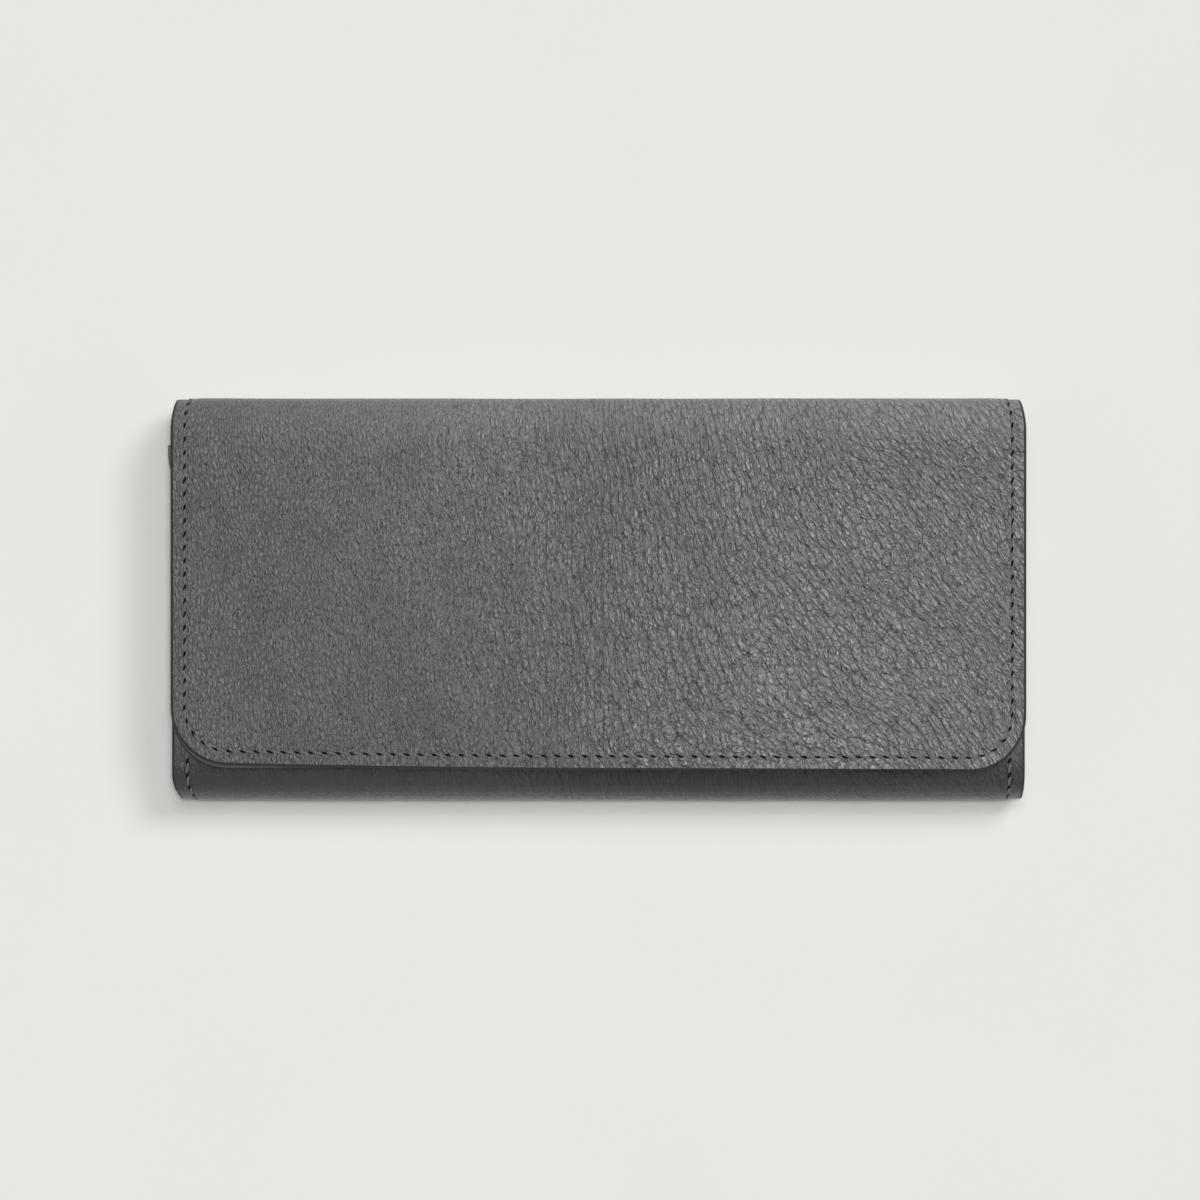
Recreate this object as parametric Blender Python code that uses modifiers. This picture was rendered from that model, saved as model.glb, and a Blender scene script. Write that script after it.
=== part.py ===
"""Continental wallet: a long flap-over wallet in grained leather, lying closed with its flap up.

The shell is one strip of leather in use: back panel, rounded bottom, front panel, and at the
top two soft creases that carry the spine and the flap. Side gussets join the panels, card slots
line the back, and a zipped coin pocket divides the note room. A flat press magnet shuts the flap.

X runs along the wallet, Y from the bottom fold to the top fold, Z up from the back panel.
The origin is under the middle of the back panel. All lengths are in metres.
"""

import math

import bmesh
import bpy
from mathutils import Matrix, Vector

# Outline of the closed wallet
FLAP_LENGTH = 0.2000
CLOSED_HEIGHT = 0.0942
FLAP_SHORT = 0.0072
FLAP_CORNER = 0.0133
FRONT_DROP = 0.0107
PANEL_INSET = 0.0002
CREASE_RADIUS = 0.0090
MOUTH_CORNER = 0.0020

# Leather, board and cloth
SHELL = 0.0013
BOARD = 0.0005
LINING = 0.0005
LEAF = 0.0005
GUSSET = 0.0005
POCKET_WALL = 0.0008
POUCH = 0.0004
TAPE = 0.0004
LINING_STEP = 0.0004
SEAM = 0.0045

# Clearances and rooms between the layers
SEAT = 0.0003
NOTE_ROOM = 0.0022
COIN_ROOM = 0.0022

# Card slots
SLOT_COUNT = 3
SLOT_STEP = 0.0110
SLOT_FOOT = 0.0022
COLUMN_GAP = 0.0012
SLOT_CORNER = 0.0015

# Side gussets
GUSSET_DEPTH = 0.0134
GUSSET_KNEE = 0.0042
GUSSET_RIM = 0.0012
GUSSET_TURN = 0.0006
MOUTH_BULGE = 0.0023
MOUTH_BULGE_RUN = 0.0075
LEAF_LEVEL_SHARES = (0.27, 0.68)

# Coin pocket
HEAD_ROOM = 0.0024
ZIP_DROP = 0.0211
HEAD_DEPTH = 0.0044
FLARE_RUN = 0.0032
HEAD_TAPE_HALF = 0.0038
POUCH_INSET = 0.0015
POUCH_DROP = 0.0014
SLOT_CLEAR = 0.0004
DIVIDER_FOOT = 0.0041
DIVIDER_HINGE_RISE = 0.0010

# Zip
CHAIN_INSET = 0.0080
SLIDER_END_ROOM = 0.0060
TOOTH_PITCH = 0.0026
TOOTH_WIDTH = 0.0010
TOOTH_HEIGHT = 0.0020
TOOTH_ROOT = 0.0015
TOOTH_CROSS = 0.0007
TAPE_EDGE = 0.0009
TOOTH_END_SHARE = 0.6
SLIDER_LENGTH = 0.0086
SLIDER_PLATE = 0.0007
SLIDER_FLANGE = 0.0008
SLIDER_TAIL_SHARE = 0.84
SLIDER_BEVEL = 0.00025
POST_LENGTH = 0.0018
POST_HALF = 0.00055
STOP_LENGTH = 0.0024

# Pull tab and the bridge that carries it
BRIDGE_RADIUS = 0.0015
BRIDGE_BAND = 0.0007
BRIDGE_WIDTH = 0.0015
BRIDGE_SINK = 0.0003
PIVOT_RISE = 0.0008
PULL_REACH = 0.0130
PULL_THICK = 0.0008
PULL_NECK = 0.0042
PULL_WIDTH = 0.0050
PULL_ARM = 0.0009
PULL_HOLE = 0.0009

# Press magnet
SNAP_FROM_EDGE = 0.0129
SNAP_RADIUS = 0.0070
SNAP_RING = 0.0008
SNAP_PLATE = 0.0005
SNAP_BORE = 0.0025
SNAP_STUD = 0.0018
STUD_LENGTH = 0.0006
RIVET_RADIUS = 0.0012
WASHER_RADIUS = 0.0060

# Small rounding and the reach of a cutter past what it cuts
EDGE_ROUND = 0.0003
OVERRUN = 0.0010

# Facets
CORNER_STEPS = 8
FOLD_STEPS = 12
BOTTOM_STEPS = 18
ROUND_SIDES = 32

# Levels of the layers, from the back panel up
BACK_BOARD_Z = SHELL + SEAT
BACK_LINING_Z = BACK_BOARD_Z + BOARD + SEAT
SLOT_Z = BACK_LINING_Z + LINING + SEAT
SLOT_PITCH = LEAF + SEAT
SLOTS_TOP_Z = SLOT_Z + SLOT_COUNT * SLOT_PITCH - SEAT
DIVIDER_Z = SLOTS_TOP_Z + NOTE_ROOM
DIVIDER_TOP_Z = DIVIDER_Z + 2 * POCKET_WALL + COIN_ROOM
SLIP_Z = DIVIDER_TOP_Z + NOTE_ROOM
FRONT_LINING_Z = SLIP_Z + LEAF + SEAT
FRONT_BOARD_Z = FRONT_LINING_Z + LINING + SEAT
FRONT_SHELL_Z = FRONT_BOARD_Z + BOARD + SEAT
FRONT_TOP_Z = FRONT_SHELL_Z + SHELL
SNAP_RING_Z = FRONT_TOP_Z + SEAT
SNAP_PLATE_Z = SNAP_RING_Z + SNAP_RING + SEAT
FLAP_LINING_Z = SNAP_PLATE_Z + SNAP_PLATE + SEAT
FLAP_BOARD_Z = FLAP_LINING_Z + LINING + SEAT
FLAP_SHELL_Z = FLAP_BOARD_Z + BOARD + SEAT
THICKNESS = FLAP_SHELL_Z + SHELL

# Places across the wallet
TOP_Y = CLOSED_HEIGHT / 2
BOTTOM_Y = -TOP_Y
CREASE_Y = TOP_Y - CREASE_RADIUS
FLAP_EDGE_Y = BOTTOM_Y + FLAP_SHORT
FRONT_EDGE_Y = TOP_Y - FRONT_DROP
SNAP_Y = FLAP_EDGE_Y + SNAP_FROM_EDGE
ZIP_Y = TOP_Y - ZIP_DROP
FLARE_END_Y = ZIP_Y - HEAD_DEPTH
FLARE_START_Y = FLARE_END_Y - FLARE_RUN
SLOT_TOP_Y = FLARE_START_Y - SLOT_CLEAR
POUCH_TOP_Y = FLARE_START_Y - POUCH_DROP
BOTTOM_RADIUS = FRONT_TOP_Z / 2
BOTTOM_CREASE_Y = BOTTOM_Y + BOTTOM_RADIUS
DIVIDER_FOOT_Y = BOTTOM_Y + DIVIDER_FOOT
FLAP_HALF = FLAP_LENGTH / 2
PANEL_HALF = FLAP_HALF - PANEL_INSET
LINING_HALF = PANEL_HALF - LINING_STEP
SLOT_HALF = LINING_HALF - SEAM
GUSSET_RIM_X = PANEL_HALF - GUSSET_RIM
DIVIDER_HALF = GUSSET_RIM_X - GUSSET / 2 - SEAT
HEAD_LENGTH = 2 * (PANEL_HALF - GUSSET_DEPTH - HEAD_ROOM)
CHAIN_LENGTH = HEAD_LENGTH - 2 * CHAIN_INSET
SLIDER_X = CHAIN_LENGTH / 2 - SLIDER_END_ROOM
BACK_LINING_TOP_Z = BACK_LINING_Z + LINING
HEAD_Z = (BACK_LINING_TOP_Z + FRONT_LINING_Z) / 2
WALL_HEAD_HALF = HEAD_TAPE_HALF + TAPE / 2 + SEAT + POCKET_WALL / 2

# Middle lines of the folded sheets, as radii about their creases
SHELL_FOLD_R = CREASE_RADIUS - SHELL / 2
LINING_FOLD_R = CREASE_RADIUS - BACK_LINING_Z - LINING / 2
SHELL_BOTTOM_R = BOTTOM_RADIUS - SHELL / 2
LINING_BOTTOM_R = BOTTOM_RADIUS - BACK_LINING_Z - LINING / 2

# A sheet that turns a quarter unrolls without stretching about this point of its bend
UNROLL_ALONG_SHARE = math.pi / 4
UNROLL_IN_SHARE = 1 - math.pi / 4
SPINE_AXIS = Vector(
    (0, CREASE_Y + UNROLL_ALONG_SHARE * SHELL_FOLD_R, SHELL / 2 + UNROLL_IN_SHARE * SHELL_FOLD_R)
)
FLAP_AXIS = Vector((0, SPINE_AXIS.y, THICKNESS - SPINE_AXIS.z))
FRONT_AXIS = Vector((0, BOTTOM_CREASE_Y, FRONT_TOP_Z - SHELL / 2))
DIVIDER_AXIS = Vector(
    (0, DIVIDER_FOOT_Y + DIVIDER_HINGE_RISE, (DIVIDER_Z + DIVIDER_TOP_Z) / 2)
)
TAPE_Y = ZIP_Y + TAPE / 2
SLIDER_TOP = TOOTH_HEIGHT / 2 + SEAT + SLIDER_PLATE
PIVOT = Vector((SLIDER_X, TAPE_Y + SLIDER_TOP + PIVOT_RISE, HEAD_Z))
SLIDER_AT = Vector((SLIDER_X, TAPE_Y, HEAD_Z))


def clear_scene():
    """Empties the file's scene of its objects."""
    for obj in list(bpy.data.objects):
        bpy.data.objects.remove(obj, do_unlink=True)


def make_material(name, colour, roughness, metallic=0.0):
    """A plain finish: one colour, its roughness and whether it is metal."""
    material = bpy.data.materials.new(name)
    material.use_nodes = True
    shader = material.node_tree.nodes["Principled BSDF"]
    shader.inputs["Base Color"].default_value = (*colour, 1.0)
    shader.inputs["Roughness"].default_value = roughness
    shader.inputs["Metallic"].default_value = metallic
    material.diffuse_color = (*colour, 1.0)
    return material


def make_collection(name):
    """A collection of the scene."""
    collection = bpy.data.collections.new(name)
    bpy.context.scene.collection.children.link(collection)
    return collection


class Shop:
    """Holds the collections and finishes, and puts finished shapes in their place."""

    def __init__(self):
        self.parts = make_collection("continental_wallet")
        self.cutters = make_collection("cutters")
        self.finishes = {
            "leather": ((0.135, 0.135, 0.136), 0.55, 0.0),
            "inner": ((0.120, 0.120, 0.121), 0.60, 0.0),
            "board": ((0.300, 0.260, 0.210), 0.85, 0.0),
            "cloth": ((0.060, 0.061, 0.064), 0.90, 0.0),
            "steel": ((0.560, 0.565, 0.580), 0.28, 1.0),
        }

    def add(self, name, mesh, at=Vector((0, 0, 0)), finish="leather", parent=None):
        """A named part with its own material, at a world place, carried by its parent."""
        colour, roughness, metallic = self.finishes[finish]
        mesh.name = name
        mesh.materials.clear()
        mesh.materials.append(make_material(name + "_" + finish, colour, roughness, metallic))
        obj = bpy.data.objects.new(name, mesh)
        self.parts.objects.link(obj)
        return self.carry(obj, at, parent)

    def cutter(self, name, mesh, at=Vector((0, 0, 0))):
        """A hidden shape that cuts or joins a part."""
        mesh.name = name
        obj = bpy.data.objects.new(name, mesh)
        obj.hide_render = True
        obj.display_type = "WIRE"
        self.cutters.objects.link(obj)
        obj.location = at
        return obj

    def pivot(self, name, at, parent=None):
        """An empty on a joint's axis, which carries the pieces that turn or slide there."""
        empty = bpy.data.objects.new(name, None)
        empty.empty_display_size = CREASE_RADIUS
        self.parts.objects.link(empty)
        empty["at"] = tuple(at)
        return self.carry(empty, at, parent)

    def carry(self, obj, at, parent):
        """Puts an object at a world place, under a parent that only moves."""
        obj.parent = parent
        held = Vector(parent["at"]) if parent else Vector((0, 0, 0))
        obj.location = Vector(at) - held
        return obj


def mesh_of(bm):
    """The mesh of a finished bmesh, shaded smooth with its corners kept sharp."""
    bmesh.ops.recalc_face_normals(bm, faces=bm.faces)
    mesh = bpy.data.meshes.new("shape")
    bm.to_mesh(mesh)
    bm.free()
    mesh.shade_smooth()
    mesh.set_sharp_from_angle(angle=math.radians(35))
    return mesh


def upright(edge):
    """Whether an edge stands along Z."""
    a, b = (v.co for v in edge.verts)
    return (a - b).xy.length < 0.01 * (a - b).length


def slab(size, radius=0.0, rounded=lambda middle: True):
    """A flat piece of the size given about its middle, with the chosen corners rounded."""
    bm = bmesh.new()
    bmesh.ops.create_cube(bm, size=1, matrix=Matrix.Diagonal((*size, 1)))
    if radius > 0:
        edges = [
            e for e in bm.edges if upright(e) and rounded((e.verts[0].co + e.verts[1].co) / 2)
        ]
        bmesh.ops.bevel(
            bm, geom=edges, offset=radius, segments=CORNER_STEPS, profile=0.5, affect="EDGES"
        )
    return mesh_of(bm)


def disc(radius, height, axis="Z"):
    """A solid cylinder about its middle."""
    bm = bmesh.new()
    turn = {"Z": Matrix(), "Y": Matrix.Rotation(math.pi / 2, 4, "X")}[axis]
    bmesh.ops.create_cone(
        bm,
        cap_ends=True,
        segments=ROUND_SIDES,
        radius1=radius,
        radius2=radius,
        depth=height,
        matrix=turn,
    )
    return mesh_of(bm)


def strip(path, along, start, end, bulge=None):
    """An open sheet: a path in one plane, drawn out along the axis that it leaves.

    A path for X holds (y, z), one for Y holds (x, z) and one for Z holds (x, y).
    """
    place = {
        "X": lambda a, b, c: (c, a, b),
        "Y": lambda a, b, c: (a, c, b),
        "Z": lambda a, b, c: (a, b, c),
    }[along]
    stops = [start, end] if bulge is None else [start, end - bulge, end]
    bm = bmesh.new()
    rows = [[bm.verts.new(place(a, b, stop)) for a, b in path] for stop in stops]
    for near, far in zip(rows, rows[1:]):
        for i in range(len(path) - 1):
            bm.faces.new((near[i], near[i + 1], far[i + 1], far[i]))
    return mesh_of(bm)


def thicken(obj, thickness):
    """Gives a sheet its thickness, half to each side."""
    solid = obj.modifiers.new("thickness", "SOLIDIFY")
    solid.thickness = thickness
    solid.offset = 0.0
    solid.use_even_offset = True
    return obj


def combine(obj, operation, tool):
    """Cuts a part by a tool, or joins the tool to it."""
    boolean = obj.modifiers.new(tool.name, "BOOLEAN")
    boolean.operation = operation
    boolean.solver = "EXACT"
    boolean.object = tool
    return obj


def soften(obj, width, segments=2):
    """Rounds the sharp edges of a part."""
    bevel = obj.modifiers.new("softened edges", "BEVEL")
    bevel.width = width
    bevel.segments = segments
    bevel.limit_method = "ANGLE"
    bevel.angle_limit = math.radians(50)
    return obj


def box_between(low, high):
    """Size and middle of a box from its two corners."""
    low, high = Vector(low), Vector(high)
    return high - low, (low + high) / 2


def arc(centre, radius, first, last, steps, trim):
    """Points on an arc in one plane, each end drawn back by the trim."""
    back = trim / radius
    turn = math.copysign(1, last - first)
    a, b = first + turn * back, last - turn * back
    return [
        (centre[0] + radius * math.cos(a + (b - a) * i / steps),
         centre[1] + radius * math.sin(a + (b - a) * i / steps))
        for i in range(steps + 1)
    ]


def panel(shop, name, low, high, finish="leather", parent=None, radius=0.0, rounded=None, soft=0):
    """A flat panel between two corners, with some of its upright edges rounded."""
    size, middle = box_between(low, high)
    mesh = slab(size, radius, rounded or (lambda _: True))
    obj = shop.add(name, mesh, middle, finish, parent)
    return soften(obj, soft) if soft else obj


def build_back(shop):
    """The back panel with its board, lining and two columns of card slots."""
    low_y, high_y = BOTTOM_CREASE_Y + SEAT / 2, CREASE_Y - SEAT / 2
    panel(
        shop, "back_shell", (-PANEL_HALF, low_y, 0), (PANEL_HALF, high_y, SHELL)
    )
    board_half = PANEL_HALF - SEAM
    panel(
        shop,
        "back_board",
        (-board_half, low_y, BACK_BOARD_Z),
        (board_half, high_y, BACK_BOARD_Z + BOARD),
        "board",
    )
    panel(
        shop,
        "back_lining",
        (-LINING_HALF, low_y, BACK_LINING_Z),
        (LINING_HALF, high_y, BACK_LINING_TOP_Z),
        "inner",
    )
    foot = BOTTOM_CREASE_Y + SLOT_FOOT
    for side, sign in (("left", -1), ("right", 1)):
        near, far = sorted((sign * COLUMN_GAP / 2, sign * SLOT_HALF))
        for step in range(SLOT_COUNT):
            top = SLOT_TOP_Y - step * SLOT_STEP
            level = SLOT_Z + step * SLOT_PITCH
            panel(
                shop,
                f"back_slot_{side}_{step + 1}",
                (near, foot, level),
                (far, top, level + LEAF),
                "inner",
                radius=SLOT_CORNER,
                rounded=lambda middle: middle.y > 0,
            )


def build_bottom(shop):
    """The rounded bottom of the shell, in two quarters, and the lining inside it."""
    centre = (BOTTOM_CREASE_Y, BOTTOM_RADIUS)
    start, middle, end = -math.pi / 2, -math.pi, -3 * math.pi / 2
    for name, first, last in (
        ("bottom_fold_back", start, middle),
        ("bottom_fold_front", middle, end),
    ):
        outer = arc(centre, SHELL_BOTTOM_R, first, last, BOTTOM_STEPS // 2, SEAT / 2)
        thicken(shop.add(name, strip(outer, "X", -PANEL_HALF, PANEL_HALF)), SHELL)
    inner = arc(centre, LINING_BOTTOM_R, start, end, BOTTOM_STEPS, SEAT / 2)
    lining = shop.add(
        "bottom_lining", strip(inner, "X", -LINING_HALF, LINING_HALF), finish="inner"
    )
    thicken(lining, LINING)


def gusset_path():
    """The gusset seen from its mouth, from the back panel to the front, for the right side."""
    low_share, high_share = LEAF_LEVEL_SHARES
    end_x = LINING_HALF - SEAT
    knee_x = SLOT_HALF + SEAM - GUSSET_KNEE + SEAT
    crease_x = PANEL_HALF - GUSSET_DEPTH
    inner_x = crease_x + GUSSET_TURN
    rim_x = GUSSET_RIM_X
    lower = [SLOTS_TOP_Z + share * NOTE_ROOM for share in (low_share, high_share)]
    upper = [DIVIDER_TOP_Z + (1 - share) * NOTE_ROOM for share in (high_share, low_share)]
    return [
        (end_x, BACK_LINING_TOP_Z + SEAT + GUSSET / 2),
        (knee_x, lower[0]),
        (inner_x, lower[0]),
        (crease_x, (lower[0] + lower[1]) / 2),
        (inner_x, lower[1]),
        (rim_x - GUSSET_TURN, lower[1]),
        (rim_x, lower[1] + GUSSET_TURN),
        (rim_x, upper[0] - GUSSET_TURN),
        (rim_x - GUSSET_TURN, upper[0]),
        (inner_x, upper[0]),
        (crease_x, (upper[0] + upper[1]) / 2),
        (inner_x, upper[1]),
        (knee_x, upper[1]),
        (end_x, FRONT_LINING_Z - SEAT - GUSSET / 2),
    ]


def build_gussets(shop):
    """The two bellows at the ends, folded in beside the coin pocket and proud at the mouth."""
    start, end = BOTTOM_CREASE_Y + SEAT, FRONT_EDGE_Y - SEAT
    for side, sign in (("left", -1), ("right", 1)):
        path = [(sign * x, z) for x, z in gusset_path()]
        mesh = strip(path, "Y", start, end, bulge=MOUTH_BULGE_RUN)
        for vertex in mesh.vertices:
            at_mouth = vertex.co.y > end - MOUTH_BULGE_RUN / 2
            if at_mouth and abs(vertex.co.x) > GUSSET_RIM_X - GUSSET / 2:
                if DIVIDER_Z - NOTE_ROOM / 2 < vertex.co.z < DIVIDER_TOP_Z + NOTE_ROOM / 2:
                    vertex.co.x += sign * MOUTH_BULGE
        thicken(shop.add(f"gusset_{side}", mesh, finish="inner"), GUSSET)


def crease_sheets(shop, prefix, upper, half_shell, half_lining, parent):
    """Shell and lining of one quarter crease of the top fold."""
    centre_z = THICKNESS - CREASE_RADIUS if upper else CREASE_RADIUS
    first, last = (0, math.pi / 2) if upper else (-math.pi / 2, 0)
    origin = Vector(parent["at"]) if parent else Vector((0, 0, 0))
    centre = (CREASE_Y - origin.y, centre_z - origin.z)
    for part, radius, half, thickness, finish in (
        ("shell", SHELL_FOLD_R, half_shell, SHELL, "leather"),
        ("lining", LINING_FOLD_R, half_lining, LINING, "inner"),
    ):
        path = arc(centre, radius, first, last, FOLD_STEPS, SEAT / 2)
        mesh = strip(path, "X", -half, half)
        thicken(shop.add(f"{prefix}_{part}", mesh, origin, finish, parent), thickness)


def build_spine(shop, spine):
    """The narrow strip between the two creases of the top fold."""
    low_z, high_z = CREASE_RADIUS + SEAT / 2, THICKNESS - CREASE_RADIUS - SEAT / 2
    for part, radius, half, thickness, finish in (
        ("shell", SHELL_FOLD_R, PANEL_HALF, SHELL, "leather"),
        ("lining", LINING_FOLD_R, LINING_HALF, LINING, "inner"),
    ):
        middle_y = CREASE_Y + radius
        panel(
            shop,
            f"spine_{part}",
            (-half, middle_y - thickness / 2, low_z),
            (half, middle_y + thickness / 2, high_z),
            finish,
            spine,
        )


def is_low(middle):
    """Whether a corner lies on the piece's lower side."""
    return middle.y < 0


def is_high(middle):
    """Whether a corner lies on the piece's upper side."""
    return middle.y > 0


def build_flap(shop, flap):
    """The flap: grained leather over a board and lining, with round lower corners."""
    high_y = CREASE_Y - SEAT / 2
    panel(
        shop,
        "flap_shell",
        (-FLAP_HALF, FLAP_EDGE_Y, FLAP_SHELL_Z),
        (FLAP_HALF, high_y, THICKNESS),
        parent=flap,
        radius=FLAP_CORNER,
        rounded=is_low,
        soft=EDGE_ROUND,
    )
    board = panel(
        shop,
        "flap_board",
        (SEAM - FLAP_HALF, FLAP_EDGE_Y + SEAM, FLAP_BOARD_Z),
        (FLAP_HALF - SEAM, high_y, FLAP_BOARD_Z + BOARD),
        "board",
        flap,
        FLAP_CORNER - SEAM,
        is_low,
    )
    lining = panel(
        shop,
        "flap_lining",
        (LINING_STEP - FLAP_HALF, FLAP_EDGE_Y + LINING_STEP, FLAP_LINING_Z),
        (FLAP_HALF - LINING_STEP, high_y, FLAP_LINING_Z + LINING),
        "inner",
        flap,
        FLAP_CORNER - LINING_STEP,
        is_low,
    )
    seat = Vector((0, SNAP_Y, FLAP_BOARD_Z + BOARD / 2))
    combine(
        board,
        "DIFFERENCE",
        shop.cutter(
            "flap_board_window", disc(WASHER_RADIUS + SEAT, BOARD + 2 * OVERRUN), seat
        ),
    )
    combine(
        lining,
        "DIFFERENCE",
        shop.cutter(
            "flap_lining_hole",
            disc(RIVET_RADIUS + SEAT, LINING + 2 * SEAT),
            Vector((0, SNAP_Y, FLAP_LINING_Z + LINING / 2)),
        ),
    )


def build_front(shop, front):
    """The front panel with its board, lining and two slip pockets."""
    low_y, high_y = BOTTOM_CREASE_Y + SEAT / 2, FRONT_EDGE_Y
    shell = panel(
        shop,
        "front_shell",
        (-PANEL_HALF, low_y, FRONT_SHELL_Z),
        (PANEL_HALF, high_y, FRONT_TOP_Z),
        parent=front,
        radius=MOUTH_CORNER,
        rounded=is_high,
    )
    board_half = PANEL_HALF - SEAM
    board = panel(
        shop,
        "front_board",
        (-board_half, low_y + SEAM, FRONT_BOARD_Z),
        (board_half, high_y - SEAM, FRONT_BOARD_Z + BOARD),
        "board",
        front,
    )
    panel(
        shop,
        "front_lining",
        (-LINING_HALF, low_y, FRONT_LINING_Z),
        (LINING_HALF, high_y - LINING_STEP, FRONT_LINING_Z + LINING),
        "inner",
        front,
        MOUTH_CORNER,
        is_high,
    )
    for side, sign in (("left", -1), ("right", 1)):
        near, far = sorted((sign * COLUMN_GAP / 2, sign * SLOT_HALF))
        panel(
            shop,
            f"front_slip_{side}",
            (near, low_y + SEAM, SLIP_Z),
            (far, SLOT_TOP_Y, SLIP_Z + LEAF),
            "inner",
            front,
            SLOT_CORNER,
            is_high,
        )
    combine(
        board,
        "DIFFERENCE",
        shop.cutter(
            "front_board_window",
            disc(WASHER_RADIUS + SEAT, BOARD + 2 * SEAT),
            Vector((0, SNAP_Y, FRONT_BOARD_Z + BOARD / 2)),
        ),
    )
    combine(
        shell,
        "DIFFERENCE",
        shop.cutter(
            "front_shell_hole",
            disc(RIVET_RADIUS + SEAT, SHELL + 2 * SEAT),
            Vector((0, SNAP_Y, FRONT_SHELL_Z + SHELL / 2)),
        ),
    )


def build_snap(shop, flap, front):
    """The press magnet: a bored ring on the front, a studded plate on the flap, and washers."""
    ring_middle = Vector((0, SNAP_Y, SNAP_RING_Z + SNAP_RING / 2))
    ring = shop.add("snap_ring", disc(SNAP_RADIUS, SNAP_RING), ring_middle, "steel", front)
    bore_floor = SNAP_PLATE_Z - STUD_LENGTH - SEAT / 2
    bore_top = SNAP_RING_Z + SNAP_RING + OVERRUN
    combine(
        ring,
        "DIFFERENCE",
        shop.cutter(
            "snap_bore",
            disc(SNAP_BORE, bore_top - bore_floor),
            Vector((0, SNAP_Y, (bore_floor + bore_top) / 2)),
        ),
    )
    rivet_low = FRONT_BOARD_Z + BOARD + SEAT / 2
    rivet_high = (SNAP_RING_Z + bore_floor) / 2
    combine(
        ring,
        "UNION",
        shop.cutter(
            "ring_rivet",
            disc(RIVET_RADIUS, rivet_high - rivet_low),
            Vector((0, SNAP_Y, (rivet_low + rivet_high) / 2)),
        ),
    )
    shop.add(
        "snap_ring_washer",
        disc(WASHER_RADIUS, BOARD),
        Vector((0, SNAP_Y, FRONT_BOARD_Z + BOARD / 2 - SEAT / 2)),
        "steel",
        front,
    )
    plate_middle = Vector((0, SNAP_Y, SNAP_PLATE_Z + SNAP_PLATE / 2))
    plate = shop.add("snap_plate", disc(SNAP_RADIUS, SNAP_PLATE), plate_middle, "steel", flap)
    core = SNAP_PLATE / 2
    stud_low, stud_high = SNAP_PLATE_Z - STUD_LENGTH, SNAP_PLATE_Z + core
    combine(
        plate,
        "UNION",
        shop.cutter(
            "plate_stud",
            disc(SNAP_STUD, stud_high - stud_low),
            Vector((0, SNAP_Y, (stud_low + stud_high) / 2)),
        ),
    )
    post_low, post_high = SNAP_PLATE_Z + core, FLAP_BOARD_Z - SEAT / 2
    combine(
        plate,
        "UNION",
        shop.cutter(
            "plate_rivet",
            disc(RIVET_RADIUS, post_high - post_low),
            Vector((0, SNAP_Y, (post_low + post_high) / 2)),
        ),
    )
    shop.add(
        "snap_plate_washer",
        disc(WASHER_RADIUS, BOARD),
        Vector((0, SNAP_Y, FLAP_BOARD_Z + BOARD / 2 + SEAT / 2)),
        "steel",
        flap,
    )


def wall_sheet(sign, origin):
    """One wall of the coin pocket: flat over its whole width, flared towards the zip."""
    level = (DIVIDER_Z + DIVIDER_TOP_Z) / 2 + sign * (COIN_ROOM + POCKET_WALL) / 2
    head = HEAD_Z + sign * WALL_HEAD_HALF
    path = [
        (DIVIDER_FOOT_Y, level),
        (FLARE_START_Y, level),
        (FLARE_END_Y, head),
        (TAPE_Y, head),
    ]
    columns = [-DIVIDER_HALF, -HEAD_LENGTH / 2, HEAD_LENGTH / 2, DIVIDER_HALF]
    bm = bmesh.new()
    rows = [
        [bm.verts.new(Vector((x, y, z)) - origin) for x in columns] for y, z in path
    ]
    for row, (near, far) in enumerate(zip(rows, rows[1:])):
        for i in range(len(columns) - 1):
            if row == 0 or i == 1:
                bm.faces.new((near[i], near[i + 1], far[i + 1], far[i]))
    loose = [v for v in bm.verts if not v.link_faces]
    bmesh.ops.delete(bm, geom=loose, context="VERTS")
    return mesh_of(bm)


def build_coin_pocket(shop, divider):
    """Two leather walls and a folded cloth pouch between them."""
    origin = Vector(divider["at"])
    for name, sign in (("coin_wall_back", -1), ("coin_wall_front", 1)):
        wall = shop.add(name, wall_sheet(sign, origin), origin, "inner", divider)
        thicken(wall, POCKET_WALL)
    level = (DIVIDER_Z + DIVIDER_TOP_Z) / 2
    off = COIN_ROOM / 2 - SEAT - POUCH / 2
    foot = DIVIDER_FOOT_Y + POUCH_INSET
    path = [
        (POUCH_TOP_Y - origin.y, level - off - origin.z),
        (foot + off - origin.y, level - off - origin.z),
        (foot - origin.y, level - origin.z),
        (foot + off - origin.y, level + off - origin.z),
        (POUCH_TOP_Y - origin.y, level + off - origin.z),
    ]
    half = DIVIDER_HALF - POUCH_INSET
    pouch = shop.add("coin_pouch", strip(path, "X", -half, half), origin, "cloth", divider)
    thicken(pouch, POUCH)


def tooth_row(sign, offset, count):
    """A row of zip teeth with narrowed heads that reach past the middle of the chain."""
    bm = bmesh.new()
    reach = TOOTH_ROOT + TOOTH_CROSS
    middle = sign * (TOOTH_ROOT - TOOTH_CROSS) / 2
    first = -(count - 1) * TOOTH_PITCH / 2 + offset
    for i in range(count):
        made = bmesh.ops.create_cube(
            bm, size=1, matrix=Matrix.Diagonal((TOOTH_WIDTH, TOOTH_HEIGHT, reach, 1))
        )
        for vertex in made["verts"]:
            if vertex.co.z * sign < 0:
                vertex.co.y *= TOOTH_END_SHARE
            vertex.co.x += first + i * TOOTH_PITCH
            vertex.co.z += middle
    return mesh_of(bm)


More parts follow.
